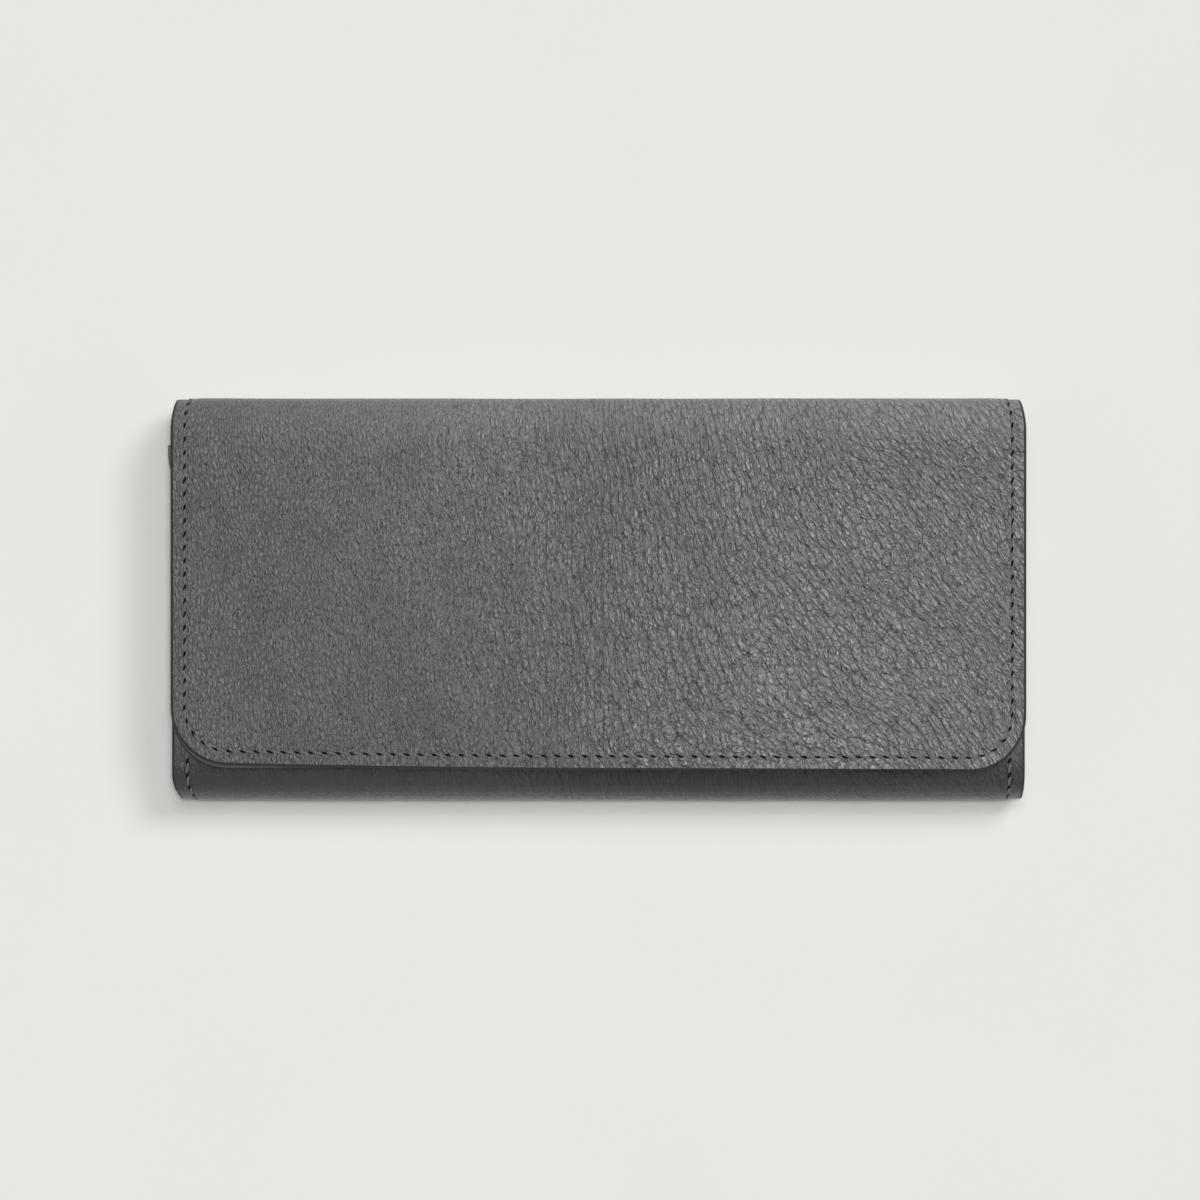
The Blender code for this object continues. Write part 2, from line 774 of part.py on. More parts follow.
def build_zip(shop, divider):
    """The chain in two halves, each a folded tape with its teeth, and the stop at the shut end."""
    chain_at = Vector((0, TAPE_Y, HEAD_Z))
    last_tooth = SLIDER_X + SLIDER_LENGTH / 2 - POST_LENGTH - SEAT
    count = int(2 * (last_tooth - TOOTH_PITCH / 2 - TOOTH_WIDTH / 2) / TOOTH_PITCH)
    for name, sign in (("zip_half_back", -1), ("zip_half_front", 1)):
        path = [
            (0, sign * TAPE_EDGE),
            (0, sign * HEAD_TAPE_HALF),
            (FLARE_END_Y + SEAT - TAPE_Y, sign * HEAD_TAPE_HALF),
        ]
        sheet = strip(path, "X", -CHAIN_LENGTH / 2, CHAIN_LENGTH / 2)
        half = shop.add(name, sheet, chain_at, "cloth", divider)
        thicken(half, TAPE)
        teeth = shop.cutter(
            name + "_teeth", tooth_row(sign, sign * TOOTH_PITCH / 4, count), chain_at
        )
        combine(half, "UNION", teeth)
    stop_x = -(CHAIN_LENGTH / 2 - STOP_LENGTH)
    web_half = TAPE_EDGE - SEAT
    stop_at = Vector((stop_x, TAPE_Y, HEAD_Z))
    web, _ = box_between(
        (0, -TOOTH_HEIGHT / 2, -web_half), (STOP_LENGTH, TOOTH_HEIGHT / 2, web_half)
    )
    stop = shop.add("zip_stop", slab(web), stop_at, "steel", divider)
    room = TAPE / 2 + SEAT
    for end, sign in (("lower", -1), ("upper", 1)):
        lip = TOOTH_HEIGHT / 2 - room
        size = Vector((STOP_LENGTH, lip, 2 * TOOTH_ROOT))
        place = stop_at + Vector((0, sign * (room + lip / 2), 0))
        combine(stop, "UNION", shop.cutter(f"stop_lip_{end}", slab(size), place))


def build_slider(shop, slider):
    """The slider: two plates joined by a post, flanged round the chain, with a bridge on top."""
    room_y, room_z = TOOTH_HEIGHT / 2 + SEAT, TOOTH_ROOT + SEAT
    size = Vector((SLIDER_LENGTH, 2 * SLIDER_TOP, 2 * (room_z + SLIDER_FLANGE)))
    mesh = slab(size)
    for vertex in mesh.vertices:
        if vertex.co.x < 0:
            vertex.co.z *= SLIDER_TAIL_SHARE
    body = shop.add("zip_slider", mesh, SLIDER_AT, "steel", slider)
    soften(body, SLIDER_BEVEL, 1)
    long = SLIDER_LENGTH + 2 * OVERRUN
    tunnel = slab(Vector((long, 2 * room_y, 2 * room_z)))
    combine(body, "DIFFERENCE", shop.cutter("slider_tunnel", tunnel, SLIDER_AT))
    slot_size = Vector((long, TAPE + 2 * SEAT, size.z + 2 * OVERRUN))
    combine(body, "DIFFERENCE", shop.cutter("slider_slots", slab(slot_size), SLIDER_AT))
    post_size = Vector((POST_LENGTH, 2 * room_y + SLIDER_PLATE, 2 * POST_HALF))
    post_at = SLIDER_AT + Vector(((SLIDER_LENGTH - POST_LENGTH) / 2 - SLIDER_BEVEL, 0, 0))
    combine(body, "UNION", shop.cutter("slider_post", slab(post_size), post_at))
    foot = -PIVOT_RISE - BRIDGE_SINK
    path = [(-BRIDGE_RADIUS, foot)]
    path += arc((0, 0), BRIDGE_RADIUS, math.pi, 0, CORNER_STEPS, 0)
    path += [(BRIDGE_RADIUS, foot)]
    bridge = shop.cutter(
        "slider_bridge", strip(path, "Z", -BRIDGE_WIDTH / 2, BRIDGE_WIDTH / 2), PIVOT
    )
    thicken(bridge, BRIDGE_BAND)
    combine(body, "UNION", bridge)


def build_pull(shop, pull):
    """The pull tab: an eye round the bridge and a blade that widens to its holed end."""
    start = -PULL_THICK / 2
    length = PULL_REACH - start
    mesh = slab(Vector((length, PULL_THICK, PULL_NECK)))
    for vertex in mesh.vertices:
        if vertex.co.x < 0:
            vertex.co.z *= PULL_WIDTH / PULL_NECK
    blade_at = PIVOT - Vector((start + length / 2, 0, 0))
    blade = shop.add("zip_pull", mesh, blade_at, "steel", pull)
    window_end = BRIDGE_RADIUS + BRIDGE_BAND / 2 + SEAT
    window_start = PULL_THICK / 2
    window = Vector((window_end - window_start, 4 * PULL_THICK, PULL_NECK - 2 * PULL_ARM))
    window_at = PIVOT - Vector(((window_start + window_end) / 2, 0, 0))
    combine(blade, "DIFFERENCE", shop.cutter("pull_window", slab(window), window_at))
    hole_at = PIVOT - Vector((PULL_REACH - 2 * PULL_HOLE, 0, 0))
    combine(
        blade,
        "DIFFERENCE",
        shop.cutter("pull_hole", disc(PULL_HOLE, 4 * PULL_THICK, "Y"), hole_at),
    )


def build_wallet():
    """Builds every piece, each under the empty on the axis that it moves about."""
    shop = Shop()
    spine = shop.pivot("spine_axis", SPINE_AXIS)
    flap = shop.pivot("flap_axis", FLAP_AXIS, spine)
    front = shop.pivot("front_axis", FRONT_AXIS)
    divider = shop.pivot("divider_axis", DIVIDER_AXIS)
    slider = shop.pivot("slider_axis", SLIDER_AT, divider)
    pull = shop.pivot("pull_axis", PIVOT, slider)
    build_back(shop)
    build_bottom(shop)
    build_gussets(shop)
    crease_sheets(shop, "fold_back", False, PANEL_HALF, LINING_HALF, None)
    build_spine(shop, spine)
    crease_sheets(shop, "fold_flap", True, FLAP_HALF, FLAP_HALF - LINING_STEP, flap)
    build_flap(shop, flap)
    build_front(shop, front)
    build_snap(shop, flap, front)
    build_coin_pocket(shop, divider)
    build_zip(shop, divider)
    build_slider(shop, slider)
    build_pull(shop, pull)
    print(f"closed: {FLAP_LENGTH:.4f} x {CLOSED_HEIGHT:.4f} x {THICKNESS:.4f} m")
    for name, axis in (
        ("spine", SPINE_AXIS), ("flap", FLAP_AXIS), ("front", FRONT_AXIS),
        ("divider", DIVIDER_AXIS), ("pull", PIVOT),
    ):
        print(f"{name} axis at {axis.x:.6f} {axis.y:.6f} {axis.z:.6f}")


if __name__ == "__main__":
    clear_scene()
    build_wallet()
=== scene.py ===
"""Looks of a closed continental wallet in grained grey leather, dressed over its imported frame.

One strip of cowhide makes front, bottom, back, spine and flap. Each sheet is a middle line in one
plane, drawn out sideways, with its thickness, a rounded painted edge, its own gentle unevenness and
a map of the flat hide in metres, so that grain, seams and folds belong to the same skin.
"""

import logging
import math
from collections.abc import Callable, Sequence
from dataclasses import dataclass, field
from enum import Enum

import bmesh
import bpy
import numpy as np
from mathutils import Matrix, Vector


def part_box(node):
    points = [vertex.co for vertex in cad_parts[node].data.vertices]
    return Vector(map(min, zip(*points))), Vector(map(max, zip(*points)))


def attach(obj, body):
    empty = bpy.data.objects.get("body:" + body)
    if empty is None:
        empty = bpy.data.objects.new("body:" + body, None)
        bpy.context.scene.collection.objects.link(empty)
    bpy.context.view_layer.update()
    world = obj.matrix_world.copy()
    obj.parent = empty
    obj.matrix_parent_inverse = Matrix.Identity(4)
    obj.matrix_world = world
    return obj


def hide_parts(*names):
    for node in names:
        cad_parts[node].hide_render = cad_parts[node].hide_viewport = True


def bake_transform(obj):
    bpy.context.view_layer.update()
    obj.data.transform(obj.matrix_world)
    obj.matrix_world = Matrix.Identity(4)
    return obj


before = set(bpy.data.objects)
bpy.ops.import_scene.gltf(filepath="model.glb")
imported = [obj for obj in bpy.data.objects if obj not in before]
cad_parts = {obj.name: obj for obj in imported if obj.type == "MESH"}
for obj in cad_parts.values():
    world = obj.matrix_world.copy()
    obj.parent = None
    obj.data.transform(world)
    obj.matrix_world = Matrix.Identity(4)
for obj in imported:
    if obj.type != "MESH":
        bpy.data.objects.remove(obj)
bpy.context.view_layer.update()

LOG = logging.getLogger("wallet")
MM = 0.001
HIDE_MAP = "hide"
SMOOTH = "SMOOTHSTEP"
FULL_TURN = 2 * math.pi
QUARTER = math.pi / 2

Point = tuple[float, float]
Band = tuple[float, float, float, float, float]
Socket = bpy.types.NodeSocket
Relief = Callable[[np.ndarray, np.ndarray, int], np.ndarray]
Patch = tuple[np.ndarray, np.ndarray, list[list[int]], np.ndarray]


class Drawn(Enum):
    """The axis along which a middle line is drawn out into a sheet."""

    ALONG_X = "x"
    ALONG_Y = "y"


class Face(Enum):
    """The two faces of a sheet: outer lies to the right of the middle line's heading."""

    OUTER = 1
    INNER = -1


# ---------------------------------------------------------------- small helpers


def linear(colour: str) -> tuple[float, float, float, float]:
    """Turns an sRGB hex colour to linear light.

    Args:
        colour: The colour, such as "#676768".

    Returns:
        Red, green, blue and an alpha of one.
    """
    parts = [int(colour[i : i + 2], 16) / 255 for i in (1, 3, 5)]
    made = [c / 12.92 if c <= 0.04045 else ((c + 0.055) / 1.055) ** 2.4 for c in parts]
    return (made[0], made[1], made[2], 1.0)


def plug(node: bpy.types.Node, inputs: dict[int | str, object]) -> None:
    """Fills a node's inputs: sockets are linked, values are written.

    Args:
        node: The node.
        inputs: Values or output sockets, by the input's name or place.
    """
    for key, value in inputs.items():
        if isinstance(value, Socket):
            node.id_data.links.new(value, node.inputs[key])
        else:
            node.inputs[key].default_value = value


def add_node(
    tree: bpy.types.NodeTree,
    kind: str,
    inputs: dict[int | str, object] | None = None,
    out: int | str = 0,
    **settings: object,
) -> Socket:
    """Adds a shader node with its settings and links.

    Args:
        tree: The tree that gets the node.
        kind: The node's type after "ShaderNode".
        inputs: Values or output sockets for its inputs, by name or place.
        out: The output wanted, by name or place.
        **settings: The node's own settings.

    Returns:
        The wanted output socket.
    """
    made = tree.nodes.new("ShaderNode" + kind)
    for key, value in settings.items():
        setattr(made, key, value)
    plug(made, inputs or {})
    return made.outputs[out]


def smoothstep(value: np.ndarray | float, low: float, high: float) -> np.ndarray:
    """Rises from 0 at low to 1 at high with level ends.

    Args:
        value: Where it is asked.
        low: Start of the rise.
        high: End of the rise.

    Returns:
        The risen share.
    """
    t = np.clip((np.asarray(value, float) - low) / (high - low), 0, 1)
    return t * t * (3 - 2 * t)


def ripple(x: np.ndarray, s: np.ndarray, length: float, seed: int) -> np.ndarray:
    """A soft, wandering unevenness from a few crossed waves.

    Args:
        x: Place across the sheet.
        s: Place along the sheet.
        length: Usual distance between two swells.
        seed: Picks the waves.

    Returns:
        Heights from about -1 to 1.
    """
    rng = np.random.default_rng(seed)
    made = np.zeros(np.broadcast(x, s).shape)
    for _ in range(7):
        turn, phase = rng.uniform(0, math.pi), rng.uniform(0, FULL_TURN)
        pace = FULL_TURN / (length * rng.uniform(0.7, 1.6))
        made = made + np.sin((x * math.cos(turn) + s * math.sin(turn)) * pace + phase)
    return made / 4


def span(node: str) -> tuple[Vector, Vector]:
    """The lowest and highest corner of a node of the frame."""
    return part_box(node)


# ---------------------------------------------------------------- finishes


class Shading:
    """A material's nodes, with a short method for each kind that recurs."""

    def __init__(self, tree: bpy.types.NodeTree) -> None:
        """Takes the tree that gets the nodes."""
        self.tree = tree

    def math(self, operation: str, *values: object) -> Socket:
        """Arithmetic on values or sockets in order."""
        return add_node(self.tree, "Math", dict(enumerate(values)), operation=operation)

    def vector(self, operation: str, *values: object, out: int | str = 0) -> Socket:
        """Arithmetic on vectors or sockets in order."""
        inputs = dict(enumerate(values))
        return add_node(self.tree, "VectorMath", inputs, out=out, operation=operation)

    def scaled(self, spot: Socket, by: float) -> Socket:
        """A vector times a number."""
        return add_node(self.tree, "VectorMath", {0: spot, "Scale": by}, operation="SCALE")

    def turned(
        self, spot: Socket, angle: Socket | float, centre: Sequence[float] = (0.0, 0.0, 0.0)
    ) -> Socket:
        """A flat place turned about a centre."""
        inputs = {"Vector": spot, "Center": centre, "Angle": angle}
        return add_node(self.tree, "VectorRotate", inputs, rotation_type="Z_AXIS")

    def parts(self, spot: Socket) -> tuple[Socket, Socket]:
        """The first two numbers of a place."""
        first, second = (add_node(self.tree, "SeparateXYZ", {0: spot}, out=i) for i in (0, 1))
        return first, second

    def ramp(self, value: Socket, *ends: float, kind: str = "LINEAR") -> Socket:
        """Carries a value from the first two ends over to the last two, or to 0 and 1."""
        inputs = dict(enumerate((value, *ends, 0.0, 1.0)[:5]))
        return add_node(self.tree, "MapRange", inputs, interpolation_type=kind)

    def mix(self, share: Socket, first: Socket | str, second: Socket | str) -> Socket:
        """Mixes two colours, each a socket or an sRGB hex colour."""
        a, b = (linear(c) if isinstance(c, str) else c for c in (first, second))
        return add_node(self.tree, "Mix", {0: share, 6: a, 7: b}, out=2, data_type="RGBA")

    def noise(
        self, spot: Socket, scale: float, detail: float = 2.0, rough: float = 0.5, out: int = 0
    ) -> Socket:
        """Soft noise with so many lumps to each unit of the place."""
        inputs = {"Vector": spot, "Scale": scale, "Detail": detail, "Roughness": rough}
        return add_node(self.tree, "TexNoise", inputs, out=out)

    def cells(self, spot: Socket, size: float, feature: str = "F1") -> Socket:
        """Flat cells of a size: the distance from their middle, or from their edge."""
        inputs = {"Vector": spot, "Scale": 1 / size}
        return add_node(self.tree, "TexVoronoi", inputs, feature=feature, voronoi_dimensions="2D")

    def bump(self, height: Socket, depth: float, invert: bool = False) -> Socket:
        """The normal of a relief whose height of one is a depth in millimetres."""
        inputs = {"Height": height, "Strength": 1.0, "Distance": depth * MM}
        return add_node(self.tree, "Bump", inputs, invert=invert)

    def flat_mm(self) -> Socket:
        """The place on the flat hide or cloth, in millimetres."""
        return self.scaled(add_node(self.tree, "UVMap", uv_map=HIDE_MAP), 1 / MM)

    def place(self) -> Socket:
        """The place in the object's own metres."""
        return add_node(self.tree, "TexCoord", out="Object")


@dataclass(frozen=True)
class Finish:
    """A material named for what the real one is and how its surface was made."""

    name: str

    def shade(self, nodes: Shading) -> dict[str, object]:
        """The shader's inputs by name, as values or sockets."""
        raise NotImplementedError

    def make(self) -> bpy.types.Material:
        """Builds the material from its shader inputs.

        Returns:
            The material.
        """
        material = bpy.data.materials.new(self.name)
        material.use_nodes = True
        tree = material.node_tree
        plug(tree.nodes["Principled BSDF"], self.shade(Shading(tree)))
        return material


@dataclass(frozen=True)
class MilledCowhide(Finish):
    """Full-grain cowhide, drum dyed and milled soft.

    Milling shrinks the grain into pebbles with fine creases between them. The eye sees a
    satin skin whose pebbles are coarse over the belly side and nearly gone where it is stretched
    round a fold. The colour carries painted shade in the creases and the crackle's valleys, painted
    light that grows lighter to the right and up the strip, and painted shade on the strip under the
    flap's edge and on the top fold. Lengths are millimetres of flat hide, across from its middle
    and along from the front's mouth. A band goes round the strip: its middle, how far it is full,
    where it has gone, its value inside and its value outside.
    """

    # Colours of the fine and belly sides as painted light, and of painted shade in creases, strip
    # and top fold.
    fine: str = "#787879"
    belly: str = "#B2B2B3"
    crease: str = "#1E1E1F"
    painted_shade_colour: str = "#101011"
    # Widths of the grain's parts, and how far half a crease reaches round the large and the small.
    pebble: float = 1.35
    pore: float = 0.8
    furrow: float = 2.2
    crackle: float = 0.36
    crackle_rough: float = 0.6
    patch: float = 2.6
    rims: Point = (0.2, 0.18)
    # Where coarse grain and the painted light begin and are full, and how the painted light climbs
    # the flap.
    coarse_at: Point = (-112.0, 22.0)
    light_gradient_at: Point = (-88.0, 60.0)
    light_gradient_climb: float = 0.4
    flap_middle: float = 245.0
    # The grain's lean in radians and where it changes, how long it is drawn, and the length and
    # reach of the bends that take it out of straight lines.
    lean: Point = (0.12, 0.62)
    lean_at: Point = (-20.0, 80.0)
    stretch: float = 0.36
    drawn: float = 0.4
    bends: tuple[Point, ...] = ((26.0, 7.0), (1.3, 0.65), (0.45, 0.35))
    # Heights of the creases, furrows, crackle and fine creases, and the small pebbles' share.
    heights: tuple[float, ...] = (0.8, 0.75, 1.65, 0.7)
    small_share: Point = (0.15, 0.2)
    patchy: tuple[float, ...] = (0.3, 0.55, 0.7, 1.0)
    depth: float = 0.5
    fine_relief: float = 0.9
    # Where folds stretch the grain, where painted shade and streaks lie under the flap's edge, and
    # painted shade on the top fold.
    folds: tuple[Band, ...] = ((87.4, 14.0, 26.0, 0.35, 1.0), (191.7, 9.0, 21.0, 0.75, 1.0))
    strip_shade_and_streaks: Band = (78.0, 1.0, 17.0, 0.95, 0.0)
    top_fold_shade: Band = (199.0, 2.0, 14.0, 0.1, 0.0)
    # The streaks in the band under the flap's edge: their width, how short they are, their height.
    streak: float = 1.3
    streak_pace: float = 0.16
    drag: float = 2.0
    # How dark the painted shade in the creases and the crackle's valleys is, and the gloss of
    # crowns and creases.
    crease_shade: float = 0.65
    valley_shade: tuple[float, ...] = (0.56, 0.34, 0.0, 0.88)
    gloss: tuple[float, ...] = (0.0, 0.6, 0.28, 0.35)
    shine: float = 0.65

    def shade(self, nodes: Shading) -> dict[str, object]:
        """Pebbles, creases, colour and gloss of the hide.

        Args:
            nodes: The material's nodes.

        Returns:
            The shader's inputs.
        """
        crease, furrow, crack, nick = self.heights
        mm = nodes.flat_mm()
        across, along = nodes.parts(mm)
        coarse = nodes.ramp(across, *self.coarse_at, kind=SMOOTH)
        lean = nodes.ramp(across, *self.lean_at, *self.lean, kind=SMOOTH)
        skin = mm
        for size, reach in self.bends:
            skin = self.bent(nodes, skin, size, reach)
        skin = nodes.turned(skin, lean, (0.0, self.flap_middle, 0.0))
        skin = nodes.vector("MULTIPLY", skin, (1.0, self.stretch, 1.0))
        drawn = nodes.vector("MULTIPLY", skin, (1.0, self.drawn, 1.0))
        patch = nodes.ramp(nodes.noise(mm, 1 / self.patch), *self.patchy)
        crackle = nodes.noise(skin, 1 / self.crackle, rough=self.crackle_rough)

        large, small = (self.pebbles(nodes, skin, size) for size in (self.pebble, self.pore))
        deep = nodes.math("MULTIPLY_ADD", self.pebbles(nodes, drawn, self.furrow), furrow, large)
        deep = nodes.math("MULTIPLY", nodes.math("MULTIPLY", deep, patch), coarse)
        share = nodes.ramp(coarse, 0.0, 1.0, *self.small_share)
        lift = nodes.math("MULTIPLY_ADD", small, share, deep)
        lift = nodes.math("MULTIPLY_ADD", crackle, crack, lift)
        groove = nodes.math(
            "MAXIMUM",
            self.crease_line(nodes, skin, self.pebble, self.rims[0]),
            self.crease_line(nodes, drawn, self.furrow, self.rims[0]),
        )
        groove = nodes.math("MULTIPLY", nodes.math("MULTIPLY", groove, patch), coarse)
        fine = self.crease_line(nodes, skin, self.pore, self.rims[1])
        groove = nodes.math("MAXIMUM", groove, nodes.math("MULTIPLY", fine, nick))
        lift = nodes.math("MULTIPLY_ADD", groove, -crease, lift)

        power = nodes.ramp(coarse, 0.0, 1.0, self.fine_relief, 1.0)
        for fold in self.folds:
            power = nodes.math("MULTIPLY", self.band(nodes, along, fold), power)
        # This band lays both the streaks' relief and painted shade of the flap's edge on the strip
        # below it.
        worn = self.band(nodes, along, self.strip_shade_and_streaks)
        streaks = nodes.vector("MULTIPLY", mm, (1.0, self.streak_pace, 1.0))
        streaks = nodes.math("MULTIPLY", nodes.noise(streaks, 1 / self.streak), worn)
        height = nodes.math("MULTIPLY", lift, power)
        height = nodes.math("MULTIPLY_ADD", streaks, self.drag, height)

        # Painted shade: the creases and the crackle's valleys are darkened in the colour, less near
        # the folds.
        low = nodes.ramp(groove, 0.0, 1.0, 0.0, self.crease_shade)
        low = nodes.math("MAXIMUM", low, nodes.ramp(crackle, *self.valley_shade))
        low = nodes.math("MULTIPLY", low, power)
        # Painted light: the colour grows lighter towards the right and up the strip, from the fine
        # colour to the belly colour.
        climb = self.light_gradient_climb
        slant = nodes.math("MULTIPLY_ADD", along, -climb, climb * self.flap_middle)
        slant = nodes.math("ADD", across, slant)
        tone = nodes.mix(nodes.ramp(slant, *self.light_gradient_at, kind=SMOOTH), self.fine, self.belly)
        # Painted shade: the strip under the flap's edge goes nearly black and the top fold a little
        # darker.
        painted_shade_share = nodes.math("MAXIMUM", worn, self.band(nodes, along, self.top_fold_shade))
        return {
            "Base Color": nodes.mix(painted_shade_share, nodes.mix(low, tone, self.crease), self.painted_shade_colour),
            "Roughness": nodes.ramp(groove, *self.gloss),
            "Normal": nodes.bump(height, self.depth),
            "IOR": 1.48,
            "Specular IOR Level": self.shine,
        }

    def band(self, nodes: Shading, along: Socket, band: Band) -> Socket:
        """A band's value at a place along the strip."""
        off = nodes.math("ABSOLUTE", nodes.math("SUBTRACT", along, band[0]))
        return nodes.ramp(off, *band[1:], kind=SMOOTH)

    def bent(self, nodes: Shading, spot: Socket, size: float, reach: float) -> Socket:
        """Bends a pattern out of its straight lines.

        Args:
            nodes: The material's nodes.
            spot: The place on the hide, in millimetres.
            size: How long one bend is.
            reach: How far the widest bends shift the pattern.

        Returns:
            The shifted place.
        """
        drift = nodes.vector("SUBTRACT", nodes.noise(spot, 1 / size, out=1), (0.5, 0.5, 0.5))
        return nodes.vector("ADD", spot, nodes.scaled(drift, reach))

    def pebbles(self, nodes: Shading, spot: Socket, size: float) -> Socket:
        """Height of closely set pebbles: nought on the crowns, about minus one at the edges."""
        away = nodes.math("POWER", nodes.cells(spot, size), 2.0)
        return nodes.math("MULTIPLY", away, -4.0)

    def crease_line(self, nodes: Shading, spot: Socket, size: float, width: float) -> Socket:
        """The creases between pebbles of a size: one in a crease, nought at a width from it."""
        edge = nodes.cells(spot, size, feature="DISTANCE_TO_EDGE")
        return nodes.ramp(edge, 0.0, width / size, 1.0, 0.0)


@dataclass(frozen=True)
class SplitLeather(Finish):
    """Split leather with a pressed fine grain, for linings and pockets.

    Pressing closes the surface, so the eye sees an even satin with pinprick pores.
    """

    body: str = "#616162"
    dark: str = "#4C4C4D"
    pore: float = 0.55
    depth: float = 0.05
    clouds: float = 0.12
    gloss: tuple[float, ...] = (0.3, 0.7, 0.55, 0.66)

    def shade(self, nodes: Shading) -> dict[str, object]:
        """Pressed pores over a faint cloudiness.

        Args:
            nodes: The material's nodes.

        Returns:
            The shader's inputs.
        """
        mm = nodes.flat_mm()
        cell = nodes.cells(mm, self.pore)
        cloud = nodes.noise(mm, self.clouds, 4.0)
        return {
            "Base Color": nodes.mix(nodes.math("MULTIPLY", cell, cloud), self.body, self.dark),
            "Roughness": nodes.ramp(cloud, *self.gloss),
            "Normal": nodes.bump(cell, self.depth, invert=True),
        }


@dataclass(frozen=True)
class EdgePaint(Finish):
    """Acrylic edge paint, brushed on the cut edge in two coats and burnished.

    It seals the fibres, so the eye sees a darker, smoother line than the skin beside it.
    """

    body: str = "#232324"
    worn: str = "#323233"

    def shade(self, nodes: Shading) -> dict[str, object]:
        """A dark coat with faint brush waves.

        Args:
            nodes: The material's nodes.

        Returns:
            The shader's inputs.
        """
        wave = nodes.noise(nodes.flat_mm(), 0.9, 3.0)
        return {
            "Base Color": nodes.mix(wave, self.body, self.worn),
            "Roughness": 0.6,
            "Normal": nodes.bump(wave, 0.05),
            "Specular IOR Level": 0.3,
        }


@dataclass(frozen=True)
class BondedBoard(Finish):
    """Bonded leather board, rolled from ground fibres: a dry, speckled buff sheet."""

    body: str = "#9A8F80"
    fleck: str = "#7A6F61"

    def shade(self, nodes: Shading) -> dict[str, object]:
        """Ground fibres in a matt sheet.

        Args:
            nodes: The material's nodes.

        Returns:
            The shader's inputs.
        """
        fibre = nodes.noise(nodes.place(), 1400.0, 5.0)
        return {
            "Base Color": nodes.mix(nodes.ramp(fibre, 0.42, 0.62), self.body, self.fleck),
            "Roughness": 0.88,
            "Normal": nodes.bump(fibre, 0.04),
        }


@dataclass(frozen=True)
class Weave(Finish):
    """Woven polyester: a plain lining cloth, or a zip tape in twill.

    Warp and weft pass over each other, so the eye sees a fine dark checker with a soft sheen. The
    threads are drawn a little coarser than real ones, which are too fine to show.
    """

    warp: str = "#4A4B4E"
    weft: str = "#3B3C3F"
    thread: float = 0.42
    slant: float = 0.0

    def shade(self, nodes: Shading) -> dict[str, object]:
        """Crossed threads with their relief.

        Args:
            nodes: The material's nodes.

        Returns:
            The shader's inputs.
        """
        pace = math.pi / self.thread
        ways = nodes.parts(nodes.turned(nodes.flat_mm(), self.slant))
        waves = [nodes.math("SINE", nodes.math("MULTIPLY", way, pace)) for way in ways]
        cross = nodes.math("MULTIPLY", *waves)
        return {
            "Base Color": nodes.mix(nodes.ramp(cross, -0.6, 0.6), self.warp, self.weft),
            "Roughness": 0.82,
            "Normal": nodes.bump(nodes.math("ABSOLUTE", cross), 0.08),
            "Sheen Weight": 0.25,
            "Sheen Roughness": 0.5,
        }


@dataclass(frozen=True)
class WaxedThread(Finish):
    """Waxed polyester thread, three plies twisted: slanting ridges with a dull shine."""

    body: str = "#747474"
    shade_side: str = "#4E4E4E"
    ply: float = 0.5

    def shade(self, nodes: Shading) -> dict[str, object]:
        """The twist of the plies.

        Args:
            nodes: The material's nodes.

        Returns:
            The shader's inputs.
        """
        pace = (FULL_TURN / self.ply, FULL_TURN, 0.0)
        way = nodes.vector("DOT_PRODUCT", nodes.flat_mm(), pace, out="Value")
        twist = nodes.math("SINE", way)
        share = nodes.ramp(twist, -1.0, 0.2, 1.0, 0.0)
        return {
            "Base Color": nodes.mix(share, self.body, self.shade_side),
            "Roughness": 0.46,
            "Normal": nodes.bump(twist, 0.05),
        }


@dataclass(frozen=True)
class NeedleHole(Finish):
    """The leather's raw fibre inside a needle hole, in deep shade: nearly black and quite matt."""

    body: str = "#0B0B0B"
    fibre: str = "#191818"

    def shade(self, nodes: Shading) -> dict[str, object]:
        """The shader's inputs: dark fibres."""
        colour = nodes.mix(nodes.noise(nodes.flat_mm(), 6.0), self.body, self.fibre)
        return {"Base Color": colour, "Roughness": 0.95, "Specular IOR Level": 0.1}


@dataclass(frozen=True)
class PlatedNickel(Finish):
    """Nickel plate on zinc or steel, tumbled or turned.

    Plating is bright and slightly warm. Tumbling leaves soft dimples, and turning leaves rings.
    """

    body: str = "#CFCECA"
    rough: float = 0.2
    rings: bool = False
    dip: str = "#B9B8B4"
    groove: float = 0.00028
    ring_radius: float = 0.007

    def shade(self, nodes: Shading) -> dict[str, object]:
        """Plate with its tool marks.

        Args:
            nodes: The material's nodes.

        Returns:
            The shader's inputs.
        """
        place = nodes.place()
        mark = nodes.noise(place, 900.0, 3.0)
        if self.rings:
            middle = (0.0, self.ring_radius - span("snap_ring")[1].y, 0.0)
            flat = nodes.vector("MULTIPLY", nodes.vector("ADD", place, middle), (1.0, 1.0, 0.0))
            radius = nodes.vector("LENGTH", flat, out="Value")
            ring = nodes.math("SINE", nodes.math("MULTIPLY", radius, FULL_TURN / self.groove))
            mark = nodes.math("MULTIPLY_ADD", ring, 0.3, mark)
        return {
            "Base Color": nodes.mix(mark, self.body, self.dip),
            "Metallic": 1.0,
            "Roughness": nodes.ramp(mark, 0.3, 0.8, self.rough, self.rough + 0.16),
            "Normal": nodes.bump(mark, 0.012),
        }


@dataclass(frozen=True)
class PaintedBoard(Finish):
    """The studio's floor: matt painted board, rolled, so it shows only a faint mottle."""

    body: str = "#E8E7E3"
    dip: str = "#E6E5E1"

    def shade(self, nodes: Shading) -> dict[str, object]:
        """The shader's inputs: a plain pale coat."""
        colour = nodes.mix(nodes.noise(nodes.place(), 14.0), self.body, self.dip)
        return {"Base Color": colour, "Roughness": 0.95, "Specular IOR Level": 0.05}


